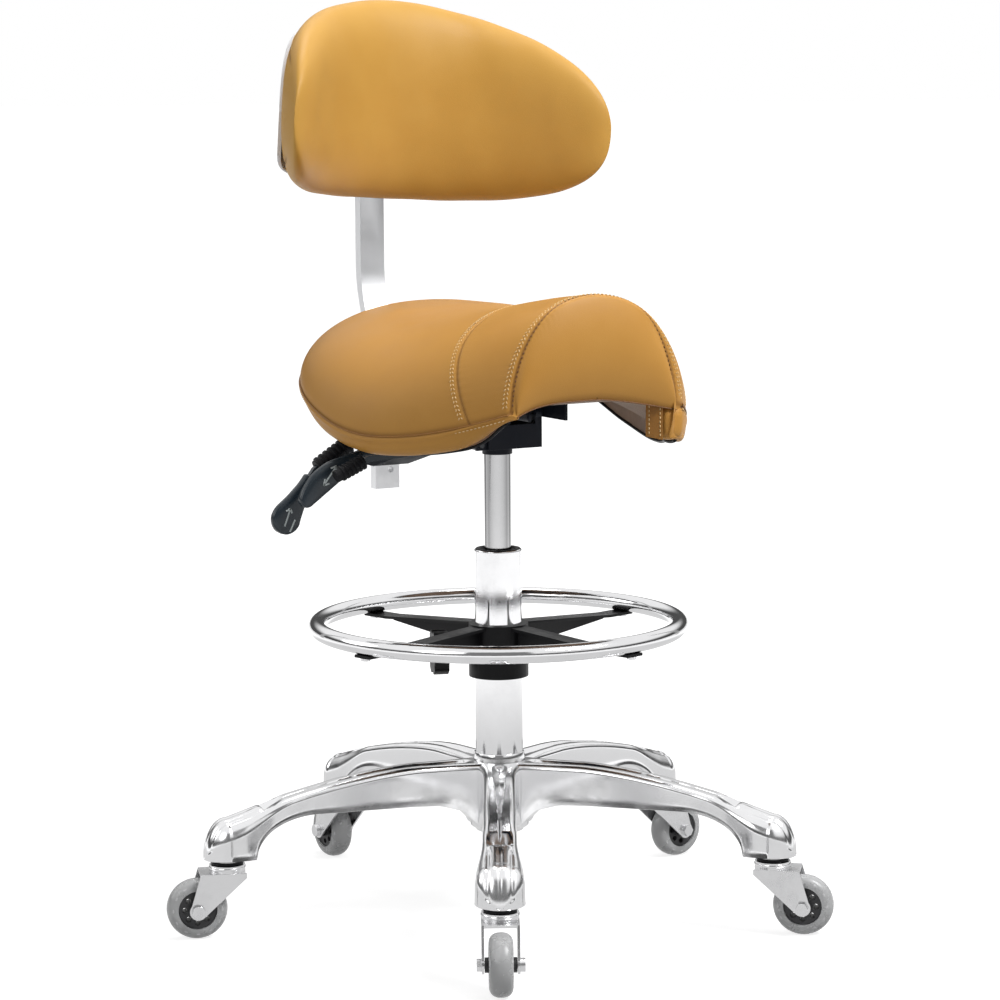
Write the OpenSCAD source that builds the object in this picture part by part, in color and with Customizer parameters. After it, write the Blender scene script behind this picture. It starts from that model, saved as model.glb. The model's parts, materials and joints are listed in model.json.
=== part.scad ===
// Swivel stool with a saddle seat, a wrap-round back rest and a foot ring.
// +Z is up, the rider faces -Y, and the origin is on the floor under the column.

/* [Seat] */
// Width of the seat over its flaps
seat_w = 386; // [340:2:430]
// Distance from the column axis to the front panel
seat_front = 200; // [180:2:230]
// Distance from the column axis to the rear edge
seat_rear = 200; // [180:2:220]
// Width of the front panel
pommel_w = 200; // [160:2:240]
// Height of the front crest above the underside
crest_h = 115; // [95:1:140]
// Height of the rear ridge above the underside
ridge_h = 89; // [70:1:100]
// Thickness of the padded rim
rim_t = 25; // [18:1:32]
// Height of the side band between its piping and its lower edge
band_h = 20; // [12:1:28]
// Thickness of the moulded seat shell
shell_t = 6; // [4:0.5:9]

/* [Back rest] */
// Radius of the back of the cushion, seen from above
back_r = 202; // [190:1:230]
// Half of the angle that the cushion wraps round
back_wrap = 80; // [60:1:85]
// Thickness of the cushion
back_t = 60; // [44:1:66]
// Height of the cushion at its middle
back_h = 214; // [170:1:250]
// Height of the wing tips above the underside of the seat
back_tip_h = 272; // [240:1:300]
// Width of the support bar
bar_w = 30; // [24:1:40]
// Thickness of the support bar
bar_t = 12; // [9:1:16]
// Distance from the column axis to the straight foot of the bar
bar_y = 250; // [244:1:275]

/* [Column] */
// Diameter of the outer column tube
column_d = 50; // [45:1:55]
// Diameter of the pressure tube
gas_d = 28; // [26:0.5:30]
// Length of column tube above the base hub
column_l = 208; // [190:1:240]
// Length of pressure tube that shows at this seat height
gas_l = 94.8; // [92:0.2:120]

/* [Foot ring] */
// Outer diameter of the foot ring
ring_d = 400; // [360:2:420]
// Diameter of its tube
ring_tube_d = 18; // [14:1:22]
// Height of the ring's middle above the base hub
ring_up = 136; // [120:1:150]

/* [Base] */
// Distance from the column axis to a caster stem
arm_r = 297; // [270:1:330]
// Width of an arm at its middle
arm_w = 32; // [26:1:40]
// Diameter of the boss at an arm's end
boss_d = 49; // [44:1:56]
// Turn of the first arm about the column
base_turn = 240; // [0:1:359]

/* [Casters] */
// Diameter of a tyre
wheel_d = 63; // [55:1:70]
// Width of a tyre
wheel_w = 24; // [18:1:26]
// Distance from the swivel axis to the wheel axle
trail = 32; // [28:1:36]
// Turn of each caster away from its arm
caster_turns = [1, 8, -16, -5, -8];

/* [Hidden] */
$fn = 48;

// Running clearance on a radius, and the gap that keeps moving faces apart
fit = 0.05;
gap = 0.3;

// Casters, from the floor up
wheel_r = wheel_d / 2;
fork_top = wheel_d + 7;
crown_t = 3;
cap_h = 7;
cap_r = 18.5;
stem_r = 5.5;
stem_flange_h = 5.7;
stem_l = 38;
fork_in = wheel_w / 2 + 4.3;
leg_t = 2.4;
fork_w = 2 * (fork_in + leg_t);
axle_r = 4;
tyre_in = 20;
hub_face = fork_in - 0.5;

// Base
arm_bottom = fork_top + cap_h + gap + stem_flange_h;
arm_count = 5;
boss_r = boss_d / 2;
hub_bottom = arm_bottom + 12.4;
hub_top = arm_bottom + 92.6;
hub_r = column_d / 2 + 6;
arm_crest = 83.5;
arm_end_h = 42;
arch_h = 42;
crest_start = 90;

// Column
tube_t = 2;
column_r = column_d / 2;
column_in = column_r - tube_t;
column_low = hub_bottom - 4;
column_top = hub_top + column_l;
bush_flange = 13.6;
bush_depth = 80;
floor_low = column_low + 6;
floor_t = 4;
race_t = 3;
ball_r = 2.5;
race_low = floor_low + floor_t + 2 * ball_r + gap;
bump_t = 10;
gas_r = gas_d / 2;
gas_wall = 3;
rod_r = 5;
clip_t = 2;
gas_bottom = column_top - 155;
seal_t = 12;
piston_low = column_top - 15;
piston_t = 20;

// Heights of the lift and the seat
socket_bottom = column_top + bush_flange + gas_l;
housing_bottom = socket_bottom + 8.5;
housing_h = 25;
housing_top = housing_bottom + housing_h;
under_z = housing_bottom + 55.5;
gas_top = socket_bottom + 16;
cone_r = gas_r - 0.8;
pin_r = 3;
pin_top = gas_top + 6.7;
pin_l = 16;

// Housing, with its hinges, in distances ahead of the column axis
housing_w = 64;
housing_front = 38;
housing_rear = -62;
wall = 3;
boss_w = 40;
hinge_r = 4;
hinge_pin_l = 76;
tilt_f = 30;
tilt_z = under_z - 18;
recline_f = -52;
recline_z = housing_bottom + 12.5;
lug_r = 10;
lug_t = 8;

// Seat plate
sheet_t = 3;
cheek_in = housing_w / 2 + 0.5;
plate_front = 84;
plate_rear = -95;
plate_w = 120;
flange_low = under_z - 24;
screw_r = 3;
screw_x = 52;
screw_f = [60, -75];

// Levers on their shaft, with the place of each along the shaft
shaft_x = -38.5;
shaft_z = housing_bottom + 5.5;
shaft_r = 3;
barrel_r = 6;
barrel_w = 10;
height_f = 0;
tilt_lever_f = -28;
recline_lever_f = 24;
ear_f = [-39, 11, 33];
ear_t = 3;
arm_t = 6;

// Foot ring
ring_z = hub_top + ring_up;
ring_tube_r = ring_tube_d / 2;
ring_r = ring_d / 2 - ring_tube_r;
spider_r = column_r + 6.5;
spider_h = 56;
spider_top = ring_z + 1;
spoke_w = 22;
spoke_t = 3;
web_t = 5;
spoke_count = 4;
spoke_turn = 15;
ring_screw_r = 2.5;
knob_turn = 160;
knob_r = 24;
knob_t = 16;
knob_out = 55;
knob_z = spider_top - 29;
stud_r = 4;

// Back rest carrier
bracket_w = 44;
clamp_low = housing_bottom - 44.5;
clamp_h = 32;
clamp_wall = 8;
bar_foot = housing_bottom - 71.5;
bar_hole_z = clamp_low - 6;
small_knob_r = 12;

// Back rest pad
pad_cy = -55;
pad_shell_t = 5;
pad_pivot_y = 280;
pad_pivot_z = under_z + 248;
pad_rise = 0.645;
pad_pin_r = 4;
pad_cheek_in = bar_w / 2 + 0.6;
pad_back_y = back_r - pad_cy + gap + pad_shell_t;
pad_tip_z = under_z + back_tip_h;

function ease(t) = let (u = max(0, min(1, t))) u * u * (3 - 2 * u);

// A skin through equal loops of points, closed by a face at each end. From point turn
// on, each four-sided patch is split the other way, so the two faces of a sheet match.
module sweep(loops, turn = 1e6, thin = false) {
  m = len(loops[0]);
  n = len(loops);
  e = (n - 1) * m;
  polyhedron(
    points = [for (loop = loops) for (p = loop) p],
    faces = concat(
      thin ? concat(
        [for (j = [0 : m / 2 - 2]) [m - 2 - j, j + 1, j]],
        [for (j = [0 : m / 2 - 2]) [m - 1 - j, m - 2 - j, j]],
        [for (j = [0 : m / 2 - 2]) [e + j, e + j + 1, e + m - 2 - j]],
        [for (j = [0 : m / 2 - 2]) [e + j, e + m - 2 - j, e + m - 1 - j]])
      : [[for (j = [m - 1 : -1 : 0]) j], [for (j = [0 : m - 1]) e + j]],
      [for (i = [0 : n - 2]) for (j = [0 : m - 1])
        [i * m + j, i * m + (j + 1) % m, (i + 1) * m + (leans(j, turn) ? (j + 1) % m : j)]],
      [for (i = [0 : n - 2]) for (j = [0 : m - 1])
        [leans(j, turn) ? i * m + j : i * m + (j + 1) % m, (i + 1) * m + (j + 1) % m, (i + 1) * m + j]]));
}
function leans(j, turn) = turn > 0 ? j < turn : j >= -turn;

// A plate that stands in the Y-Z plane, drawn as [distance ahead, height], x0 to x1 wide
module side_plate(x0, x1) {
  translate([x0, 0, 0]) rotate([90, 0, -90]) mirror([0, 0, 1]) linear_extrude(x1 - x0) children();
}

// A plate that stands in the X-Z plane, centred on a distance ahead of the column
module cross_plate(ahead, thick) {
  translate([0, thick / 2 - ahead, 0]) rotate([90, 0, 0]) linear_extrude(thick) children();
}

module rod_x(r, length) {
  translate([-length / 2, 0, 0]) rotate([0, 90, 0]) cylinder(r = r, h = length);
}

module ring_of(r_out, r_in, h) {
  difference() {
    cylinder(r = r_out, h = h);
    translate([0, 0, -1]) cylinder(r = r_in, h = h + 2);
  }
}

// Base

function crest(r) = r <= arm_r
  ? arm_crest - (arm_crest - arm_end_h) * pow(max(0, (r - crest_start) / (arm_r - crest_start)), 1.6)
  : arm_end_h * sqrt(max(0, 1 - pow((r - arm_r) / boss_r, 2)));
arch_in = arm_r - boss_r - 2;
arm_crest_line = concat(
  [for (r = [10, hub_r, crest_start]) [r, arm_crest]],
  [for (r = [crest_start + 20 : 20 : arm_r]) [r, crest(r)]],
  [for (a = [15 : 15 : 90]) [arm_r + boss_r * sin(a), arm_end_h * cos(a)]]);
arm_arch_line = concat(
  [for (a = [0 : 15 : 90]) [arch_in - 68 + 68 * cos(a), arch_h * sin(a)]],
  [[hub_r + 40, arch_h - 1], [hub_r + 15, arch_h - 8], [hub_r - 5, 14], [10, 14]]);

module arm_side() {
  translate([0, 60, arm_bottom]) rotate([90, 0, 0]) linear_extrude(120)
    polygon(concat(arm_crest_line, arm_arch_line));
}

module arm_plan() {
  translate([0, 0, arm_bottom - 1]) linear_extrude(arm_crest + 2) {
    polygon([[0, 20], [60, arm_w / 2 + 2], [arm_r - 80, arm_w / 2], [arm_r - 45, arm_w / 2 + 2],
      [arm_r - 10, boss_r - 1], [arm_r - 10, 1 - boss_r], [arm_r - 45, -arm_w / 2 - 2],
      [arm_r - 80, -arm_w / 2], [60, -arm_w / 2 - 2], [0, -20]]);
    translate([arm_r, 0]) circle(boss_r);
  }
}

module base_casting() {
  color("gainsboro") difference() {
    union() {
      translate([0, 0, hub_bottom]) cylinder(r = hub_r, h = hub_top - hub_bottom);
      for (k = [0 : arm_count - 1]) rotate(base_turn + k * 360 / arm_count)
        intersection() {
          arm_side();
          arm_plan();
        }
    }
    translate([0, 0, hub_bottom - 5]) cylinder(r = column_r, h = hub_top);
    at_arms() translate([0, 0, arm_bottom - 1]) cylinder(r = stem_r, h = stem_l + 1);
  }
}

module at_arms() {
  for (k = [0 : arm_count - 1]) rotate(base_turn + k * 360 / arm_count) translate([arm_r, 0, 0]) children();
}

module caster_stems() {
  rivet_low = fork_top - crown_t - gap - 2.6;
  color("silver") at_arms() {
    translate([0, 0, rivet_low]) cylinder(r = 8, h = 2.6);
    translate([0, 0, rivet_low]) cylinder(r = stem_r, h = arm_bottom + stem_l - rivet_low);
    translate([0, 0, arm_bottom - stem_flange_h]) cylinder(r = 15, h = stem_flange_h);
  }
}

// Casters

module at_caster(i) {
  rotate(base_turn + (i - 1) * 360 / arm_count) translate([arm_r, 0, 0])
    rotate(caster_turns[i - 1]) children();
}

module at_axle(i) {
  at_caster(i) translate([trail, 0, wheel_r]) children();
}

module fork_leg() {
  rotate([90, 0, 0]) linear_extrude(leg_t) union() {
    polygon([[-cap_r, fork_top], [29, fork_top], [trail + 8, wheel_r + 2], [trail, wheel_r - 9],
      [trail - 9, wheel_r - 4], [-cap_r, fork_top - 5]]);
    translate([trail, wheel_r]) circle(9);
  }
}

module caster_fork(i) {
  color("silver") at_caster(i) difference() {
    union() {
      translate([0, 0, fork_top]) cylinder(r = cap_r, h = cap_h);
      translate([0, 0, fork_top - crown_t]) linear_extrude(crown_t) union() {
        circle(fork_w / 2);
        translate([0, -fork_w / 2]) square([29, fork_w]);
      }
      translate([0, fork_w / 2, 0]) fork_leg();
      translate([0, leg_t - fork_w / 2, 0]) fork_leg();
    }
    translate([0, 0, fork_top - crown_t - 1]) cylinder(r = stem_r + fit, h = cap_h + crown_t + 2);
    translate([trail, fork_w, wheel_r]) rotate([90, 0, 0]) cylinder(r = axle_r, h = 2 * fork_w);
  }
}

module caster_axle(i) {
  color("silver") at_axle(i) rotate([90, 0, 0]) {
    translate([0, 0, -fork_w / 2 - 4]) cylinder(r = axle_r, h = fork_w + 8);
    translate([0, 0, fork_w / 2]) cylinder(r = 6.5, h = 5, $fn = 6);
    translate([0, 0, -fork_w / 2 - 5]) cylinder(r = 6.8, h = 5);
  }
}

module caster_hub(i) {
  color("dimgray") at_axle(i) rotate([90, 0, 0]) difference() {
    union() {
      translate([0, 0, 2 - wheel_w / 2]) cylinder(r = tyre_in, h = wheel_w - 4);
      translate([0, 0, -hub_face]) cylinder(r = 7.5, h = 2 * hub_face);
    }
    translate([0, 0, -wheel_w]) cylinder(r = axle_r + fit, h = 2 * wheel_w);
    for (k = [0 : 7]) rotate(k * 45) translate([13.5, 0, -wheel_w]) cylinder(r = 2.8, h = 2 * wheel_w);
  }
}

module caster_tyre(i) {
  color("lightgray") at_axle(i) rotate([90, 0, 0]) difference() {
    rotate_extrude() intersection() {
      translate([tyre_in, -wheel_w / 2]) square([wheel_r - tyre_in, wheel_w]);
      translate([wheel_r - 25, 0]) circle(25);
    }
    for (k = [0 : 11]) rotate(k * 30) translate([tyre_in + 4.6, 0, -wheel_w]) cylinder(r = 2.6, h = 2 * wheel_w);
  }
}

// Column and gas spring

module column_tube() {
  color("silver") translate([0, 0, column_low]) ring_of(column_r, column_in, column_top - column_low);
}

module guide_bush() {
  color("black") difference() {
    union() {
      translate([0, 0, column_top - bush_depth]) cylinder(r = column_in, h = bush_depth);
      translate([0, 0, column_top]) cylinder(r = column_r - 0.5, h = bush_flange);
    }
    translate([0, 0, column_top - bush_depth - 1]) cylinder(r = gas_r + fit, h = bush_depth + bush_flange + 2);
  }
}

module column_floor() {
  color("silver") translate([0, 0, floor_low]) ring_of(column_in, rod_r + fit, floor_t);
}

module bearing_balls() {
  color("silver") for (k = [0 : 9]) rotate(k * 36)
    translate([rod_r + 6, 0, floor_low + floor_t + ball_r]) sphere(ball_r);
}

module bearing_race() {
  color("silver") translate([0, 0, race_low]) ring_of(15, rod_r, race_t);
}

module bump_stop() {
  color("black") translate([0, 0, race_low + race_t]) ring_of(18, rod_r, bump_t);
}

module retaining_clip() {
  color("silver") translate([0, 0, floor_low - gap - clip_t]) ring_of(9, rod_r, clip_t);
}

module gas_rod() {
  foot = floor_low - gap - clip_t - 4;
  color("silver") translate([0, 0, foot]) cylinder(r = rod_r, h = piston_low - foot);
}

module gas_piston() {
  color("dimgray") translate([0, 0, piston_low]) cylinder(r = gas_r - gas_wall - fit, h = piston_t);
}

module gas_tube() {
  color("silver") difference() {
    union() {
      translate([0, 0, gas_bottom]) cylinder(r = gas_r, h = socket_bottom - gas_bottom);
      translate([0, 0, socket_bottom]) cylinder(r1 = gas_r, r2 = cone_r, h = gas_top - socket_bottom);
    }
    translate([0, 0, gas_bottom + seal_t])
      cylinder(r = gas_r - gas_wall, h = gas_top - pin_l - 8 - gas_bottom - seal_t);
    translate([0, 0, gas_bottom - 1]) cylinder(r = rod_r + fit, h = seal_t + 2);
    translate([0, 0, pin_top - pin_l - 4]) cylinder(r = pin_r + fit, h = pin_l);
  }
}

module release_pin() {
  color("dimgray") translate([0, 0, pin_top - pin_l]) cylinder(r = pin_r, h = pin_l);
}

// Foot ring

module ring_tube() {
  color("silver") translate([0, 0, ring_z]) rotate_extrude($fn = 96) translate([ring_r, 0]) circle(ring_tube_r);
}

module at_spokes() {
  for (k = [0 : spoke_count - 1]) rotate(spoke_turn + k * 360 / spoke_count) children();
}

spoke_end = ring_r - ring_tube_r + 1;
foot_r = ring_r - 3;
foot_z = ring_z - ring_tube_r - spoke_t;
spoke_top = spider_top - 1;
clear_turn = 60;

module ring_spider() {
  color([0.12, 0.12, 0.13]) difference() {
    union() {
      translate([0, 0, spider_top - spider_h]) rotate(clear_turn) cylinder(r = spider_r, h = spider_h);
      at_spokes() {
        translate([0, web_t / 2, 0]) rotate([90, 0, 0]) linear_extrude(web_t)
          polygon([[spider_r - 4, spoke_top - spoke_t / 2], [foot_r - 24, foot_z + spoke_t / 2],
            [foot_r - 30, foot_z - 2], [spider_r - 4, spider_top - 30]]);
        translate([0, spoke_w / 2, 0]) rotate([90, 0, 0]) linear_extrude(spoke_w)
          polygon([[spider_r - 8, spoke_top], [foot_r - 25, foot_z + spoke_t], [foot_r + 8, foot_z + spoke_t],
            [foot_r + 8, foot_z], [foot_r - 26, foot_z], [spider_r - 8, spoke_top - spoke_t]]);
      }
    }
    translate([0, 0, spider_top - spider_h - 1]) rotate(clear_turn) cylinder(r = column_r + fit, h = spider_h + 2);
    translate([0, 0, foot_z - 1]) at_spokes() translate([ring_r, 0, 0]) cylinder(r = ring_screw_r, h = spoke_t + 2);
    translate([0, 0, knob_z]) rotate([0, 90, knob_turn]) cylinder(r = stud_r + fit, h = knob_out);
  }
}

module ring_screws() {
  color("silver") at_spokes() translate([ring_r, 0, foot_z - 3]) {
    cylinder(r = 5, h = 3);
    cylinder(r = ring_screw_r, h = 3 + spoke_t);
  }
}

module ring_clamp_knob() {
  color([0.1, 0.1, 0.1]) translate([0, 0, knob_z]) rotate([0, 90, knob_turn]) {
    translate([0, 0, column_r + gap]) cylinder(r = stud_r, h = knob_out - column_r);
    translate([0, 0, knob_out]) difference() {
      cylinder(r = knob_r, h = knob_t);
      for (k = [0 : 5]) rotate(k * 60) translate([knob_r + 5, 0, -1]) cylinder(r = 9, h = knob_t + 2);
    }
  }
}

// Housing and levers

module housing() {
  deep = housing_front - housing_rear;
  color([0.13, 0.15, 0.2]) difference() {
    union() {
      translate([-housing_w / 2, -housing_front, housing_bottom]) cube([housing_w, deep, housing_h]);
      translate([0, 0, socket_bottom]) cylinder(r = gas_r + 1.8, h = housing_bottom - socket_bottom + 1);
      for (side = [-1, 1]) side_plate(side * housing_w / 2 - (side + 1) / 2 * lug_t,
          side * housing_w / 2 + (1 - side) / 2 * lug_t) union() {
        translate([tilt_f, tilt_z]) circle(lug_r);
        translate([tilt_f - lug_r, housing_bottom + 4]) square([2 * lug_r - 2, tilt_z - housing_bottom - 4]);
      }
      for (f = ear_f) side_plate(shaft_x - barrel_r, 1 - housing_w / 2)
        translate([f - ear_t / 2, housing_bottom]) square([ear_t, 2 * (shaft_z - housing_bottom)]);
    }
    difference() {
      translate([wall - housing_w / 2, wall - housing_front, housing_bottom + wall])
        cube([housing_w - 2 * wall, deep - 2 * wall, housing_h]);
      cylinder(r = boss_w / 2, h = gas_top + 2);
      for (side = [-1, 1]) translate([side * (housing_w / 2 - lug_t / 2) - lug_t / 2, -tilt_f - lug_r, housing_bottom])
        cube([lug_t, 2 * lug_r, housing_h]);
    }
    translate([0, 0, socket_bottom - 1]) cylinder(r = gas_r, h = 1);
    translate([0, 0, socket_bottom]) cylinder(r1 = gas_r, r2 = cone_r, h = gas_top - socket_bottom);
    translate([0, 0, gas_top]) cylinder(r = cone_r, h = housing_h);
    translate([0, -tilt_f, tilt_z]) rod_x(hinge_r, hinge_pin_l);
    translate([0, -recline_f, recline_z]) rod_x(hinge_r, hinge_pin_l);
    translate([shaft_x, 60, shaft_z]) rotate([90, 0, 0]) cylinder(r = shaft_r, h = 120);
    translate([-housing_w / 2 - 1, -height_f - 7, shaft_z + 3]) cube([housing_w / 2 + 6, 14, housing_h]);
  }
}

module hinge_pins() {
  color("silver") {
    translate([0, -tilt_f, tilt_z]) rod_x(hinge_r, hinge_pin_l);
    translate([0, -recline_f, recline_z]) rod_x(hinge_r, hinge_pin_l);
  }
}

module lever_shaft() {
  color("silver") translate([shaft_x, 41, shaft_z]) rotate([90, 0, 0]) cylinder(r = shaft_r, h = 77);
}

// Each lever as [across, height] points from its shaft outward
height_path = [[shaft_x, shaft_z], [-162, shaft_z - 3], [-202, shaft_z - 28]];
tilt_path = [[shaft_x, shaft_z], [-158, shaft_z + 5], [-200, shaft_z - 21], [-224, shaft_z - 53]];
recline_path = [[shaft_x, shaft_z], [-165, shaft_z - 6.5], [-199, shaft_z - 21]];

function unit(v) = v / norm(v);
function left_of(v) = [-v[1], v[0]];

// The corner beside point k of a path, at a distance to its left
function beside(path, k, d) = let (b = left_of(unit(path[k + 1] - path[k])),
    a = k == 0 ? b : left_of(unit(path[k] - path[k - 1])), n = unit(a + b))
  path[k] + n * d / (n * b);

// Half a circle round the end of a path
function round_end(tip, along, r) = [for (a = [0 : 15 : 180]) tip + (left_of(along) * cos(a) + along * sin(a)) * r];

module along_path(path, w) {
  last = len(path) - 1;
  polygon(concat(
    [for (k = [0 : last - 1]) beside(path, k, w / 2)],
    round_end(path[last], unit(path[last] - path[last - 1]), w / 2),
    [for (k = [last - 1 : -1 : 0]) beside(path, k, -w / 2)]));
}

module lever_rod(f, path) {
  color([0.1, 0.1, 0.12]) difference() {
    union() {
      cross_plate(f, barrel_w) translate([shaft_x, shaft_z]) circle(barrel_r);
      cross_plate(f, arm_t) along_path(path, arm_t);
      children();
    }
    translate([shaft_x, 60, shaft_z]) rotate([90, 0, 0]) cylinder(r = shaft_r + fit, h = 120);
  }
}

// A blade that fits over the end of a lever: root, waist and tip, each as [point, width].
// Its outline widens towards a round tip, and the lever ends inside it.
module blade(f, path, root, waist, tip) {
  along = unit(tip[0] - waist[0]);
  n_root = left_of(unit(waist[0] - root[0]));
  n_waist = unit(n_root + left_of(along));
  color([0.16, 0.19, 0.24]) difference() {
    cross_plate(f, arm_t + 2 * wall - 1) polygon(concat(
      [root[0] + n_root * root[1] / 2, waist[0] + n_waist * waist[1] / 2],
      round_end(tip[0], along, tip[1] / 2),
      [waist[0] - n_waist * waist[1] / 2, root[0] - n_root * root[1] / 2]));
    cross_plate(f, arm_t) along_path(path, arm_t);
  }
}

module height_lever() {
  lever_rod(height_f, height_path)
    cross_plate(height_f, 8) polygon([[shaft_x, shaft_z + 5], [shaft_x + 8, pin_top + 4], [5, pin_top + 4],
      [5, pin_top + gap], [shaft_x + 10, pin_top + gap], [shaft_x, shaft_z - 2]]);
}
module height_paddle() {
  blade(height_f, height_path, [[-174, shaft_z - 10], 11], [[-201, shaft_z - 27], 19], [[-217, shaft_z - 41], 25]);
}
module tilt_lever() {
  lever_rod(tilt_lever_f, tilt_path);
}
module tilt_paddle() {
  blade(tilt_lever_f, tilt_path, [[-208, shaft_z - 31], 13], [[-220, shaft_z - 49], 21], [[-235, shaft_z - 70], 34]);
}
module recline_lever() {
  lever_rod(recline_lever_f, recline_path);
}

// A ribbed sleeve along one straight part of a lever
module ribbed_sleeve(f, path, k, start, length, r, rib) {
  d = path[k + 1] - path[k];
  slope = atan2(-d[1], -d[0]);
  count = floor(length / rib);
  color([0.08, 0.08, 0.09]) difference() {
    translate([path[k][0], -f, path[k][1]]) rotate([0, -90 - slope, 0]) translate([0, 0, start]) union() {
      cylinder(r = r - 1.5, h = length);
      for (k = [0 : count - 1]) translate([0, 0, k * rib]) cylinder(r = r, h = rib / 2);
    }
    cross_plate(f, arm_t) along_path(path, arm_t);
  }
}
module tilt_boot() {
  ribbed_sleeve(tilt_lever_f, tilt_path, 1, 4, 42, 10, 6);
}
module recline_grip() {
  ribbed_sleeve(recline_lever_f, recline_path, 1, 7, 34, 8, 5);
}

// Seat

rear_bend = 138;
function seat_half(f) = f < -20
  ? seat_w / 2 * pow(max(0, 1 - pow((-20 - f) / (seat_rear - 20), 2.27)), 1 / 2.27)
  : seat_w / 2 - (seat_w - pommel_w) / 2 * pow((f + 20) / (seat_front + 20), 2);
function piping_z(f) = under_z - 29 + (f > 60 ? 29 * pow((f - 60) / (seat_front - 60), 2) : 57 * ease((60 - f) / (seat_rear + 60)));
function ridge_line(f) = under_z + ridge_h + (crest_h - ridge_h) * ease((f + 10) / (seat_front + 30));
function ridge_z(f) = f > -rear_bend ? ridge_line(f)
  : let (t = min(1, (-rear_bend - f) / (seat_rear - rear_bend)))
    piping_z(f) + (ridge_line(f) - piping_z(f)) * pow(max(0, 1 - pow(t, 2.4)), 1 / 2.4);
function band(f) = band_h - (band_h - 9) * ease((-20 - f) / 110) - (band_h - 12) * ease((f - 150) / 50);
function under(f) = under_z + 10 * ease((f - 140) / (seat_front - 140)) + 30 * ease((-rear_bend - f) / (seat_rear - rear_bend));
function rim_half(f) = min(rim_t / 2, 0.2 * seat_half(f));
function rim_rise(f) = min(rim_half(f), 0.8 * band(f));
function inner_half(f) = seat_half(f) - 2 * rim_half(f);
function inner_z(f, x) = let (xi = inner_half(f), flat = min(75, 0.62 * xi), edge = piping_z(f) - band(f) + rim_rise(f))
  under(f) - (under(f) - edge) * pow(max(0, (abs(x) - flat) / (xi - flat)), 1.5);
function spow(v, e) = sign(v) * pow(abs(v), e);

function seat_loop(f, pocket) = let (w = seat_half(f), zp = piping_z(f), zr = ridge_z(f), zb = zp - band(f),
    r = rim_half(f), v = rim_rise(f), xi = inner_half(f), e = 0.97, steps = 18, roll = 5, inner = 14)
  concat(
    [for (j = [0 : steps]) let (a = j * 180 / steps) [-w * spow(cos(a), e), -f, zp + (zr - zp) * spow(sin(a), e)]],
    [for (j = [0 : roll]) let (a = j * 180 / roll) [w - r + r * cos(a), -f, zb + v - v * sin(a)]],
    [for (j = [0 : inner]) let (x = (xi - 0.3) * cos(j * 180 / inner)) [x, -f, inner_z(f, x) + pocket]],
    [for (j = [roll : -1 : 0]) let (a = j * 180 / roll) [-w + r - r * cos(a), -f, zb + v - v * sin(a)]]);

pocket_rear = -176;
pocket_front = seat_front - 8;
lining_t = 1.2;
shell_low = lining_t + gap;
pocket_h = shell_low + shell_t + 0.6;

// Distances ahead of the column at which the seat is drawn, up to the pocket's front
seat_rows = concat([for (a = [85 : -10 : 5]) -20 - (seat_rear - 20) * sin(a)],
  [for (k = [0 : 8]) -20 + (pocket_front + 20) * k / 8]);

module seat_cushion() {
  color([0.78, 0.56, 0.27]) sweep(concat(
    [for (f = seat_rows) seat_loop(f, f > pocket_rear ? pocket_h : 0)],
    [seat_loop(pocket_front + 1, 0), seat_loop(seat_front, 0)]));
}

// A sheet that follows the inside of the seat, from low to high above the underside.
// It is what a block, drilled for each screw, has in common with the swept outline.
module seat_sheet(low, high, hole_r, sides) {
  m = 14;
  intersection() {
    difference() {
      translate([-seat_w, -seat_front, under_z - seat_w / 4]) cube([2 * seat_w, seat_front + seat_rear, seat_w / 2]);
      at_seat_screws() translate([0, 0, under_z - 5]) cylinder(r = hole_r, h = 5 + shell_low + shell_t - 1, $fn = sides);
    }
    sweep([for (f = seat_rows) if (f > pocket_rear)
      concat(
        [for (j = [0 : m]) sheet_point(f, -cos(j * 180 / m), high)],
        [for (j = [0 : m]) sheet_point(f, cos(j * 180 / m), low)])], -m - 1, true);
  }
}
// A point of the sheet, u of the way out to its edge. Its two ends are bowed: their corners
// are cut back by sheet_bow and lie sheet_drop lower and further in, clear of the cushion.
sheet_bow = 5;
sheet_drop = 1;
function sheet_point(f, u, high) = let (way = f > pocket_front - 1 ? -1 : f < pocket_rear + 20 ? 1 : 0,
    row = f + way * sheet_bow * u * u, drop = abs(way) * sheet_drop * u * u, x = u * (inner_half(row) - 0.6 - drop))
  [x, -row, inner_z(row, x) + high - drop];
module at_seat_screws() {
  for (side = [-1, 1]) for (f = screw_f) translate([side * screw_x, -f, 0]) children();
}
module seat_shell() {
  color([0.2, 0.2, 0.2]) seat_sheet(shell_low, shell_low + shell_t, screw_r, 48);
}
module seat_lining() {
  color([0.85, 0.72, 0.62]) seat_sheet(0, lining_t, 1.1 * screw_r, 8);
}

module seat_screws() {
  color("silver") at_seat_screws() {
    translate([0, 0, under_z - sheet_t - 4]) cylinder(r = 5.5, h = 4);
    translate([0, 0, under_z - sheet_t - 4]) cylinder(r = screw_r, h = 4 + sheet_t + shell_low + shell_t - 1);
  }
}

module seat_plate() {
  color([0.12, 0.13, 0.16]) difference() {
    union() {
      translate([-plate_w / 2, -plate_front, under_z - sheet_t]) cube([plate_w, plate_front - plate_rear, sheet_t]);
      for (side = [-1, 1]) side_plate(side * (cheek_in + wall / 2) - wall / 2, side * (cheek_in + wall / 2) + wall / 2)
        translate([plate_rear + 10, flange_low]) square([plate_front - plate_rear - 10, under_z - sheet_t - flange_low]);
    }
    at_seat_screws() translate([0, 0, under_z - sheet_t - 1]) cylinder(r = screw_r, h = sheet_t + 2);
    translate([0, -tilt_f, tilt_z]) rod_x(hinge_r + fit, plate_w);
  }
}

// Back rest carrier

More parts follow.
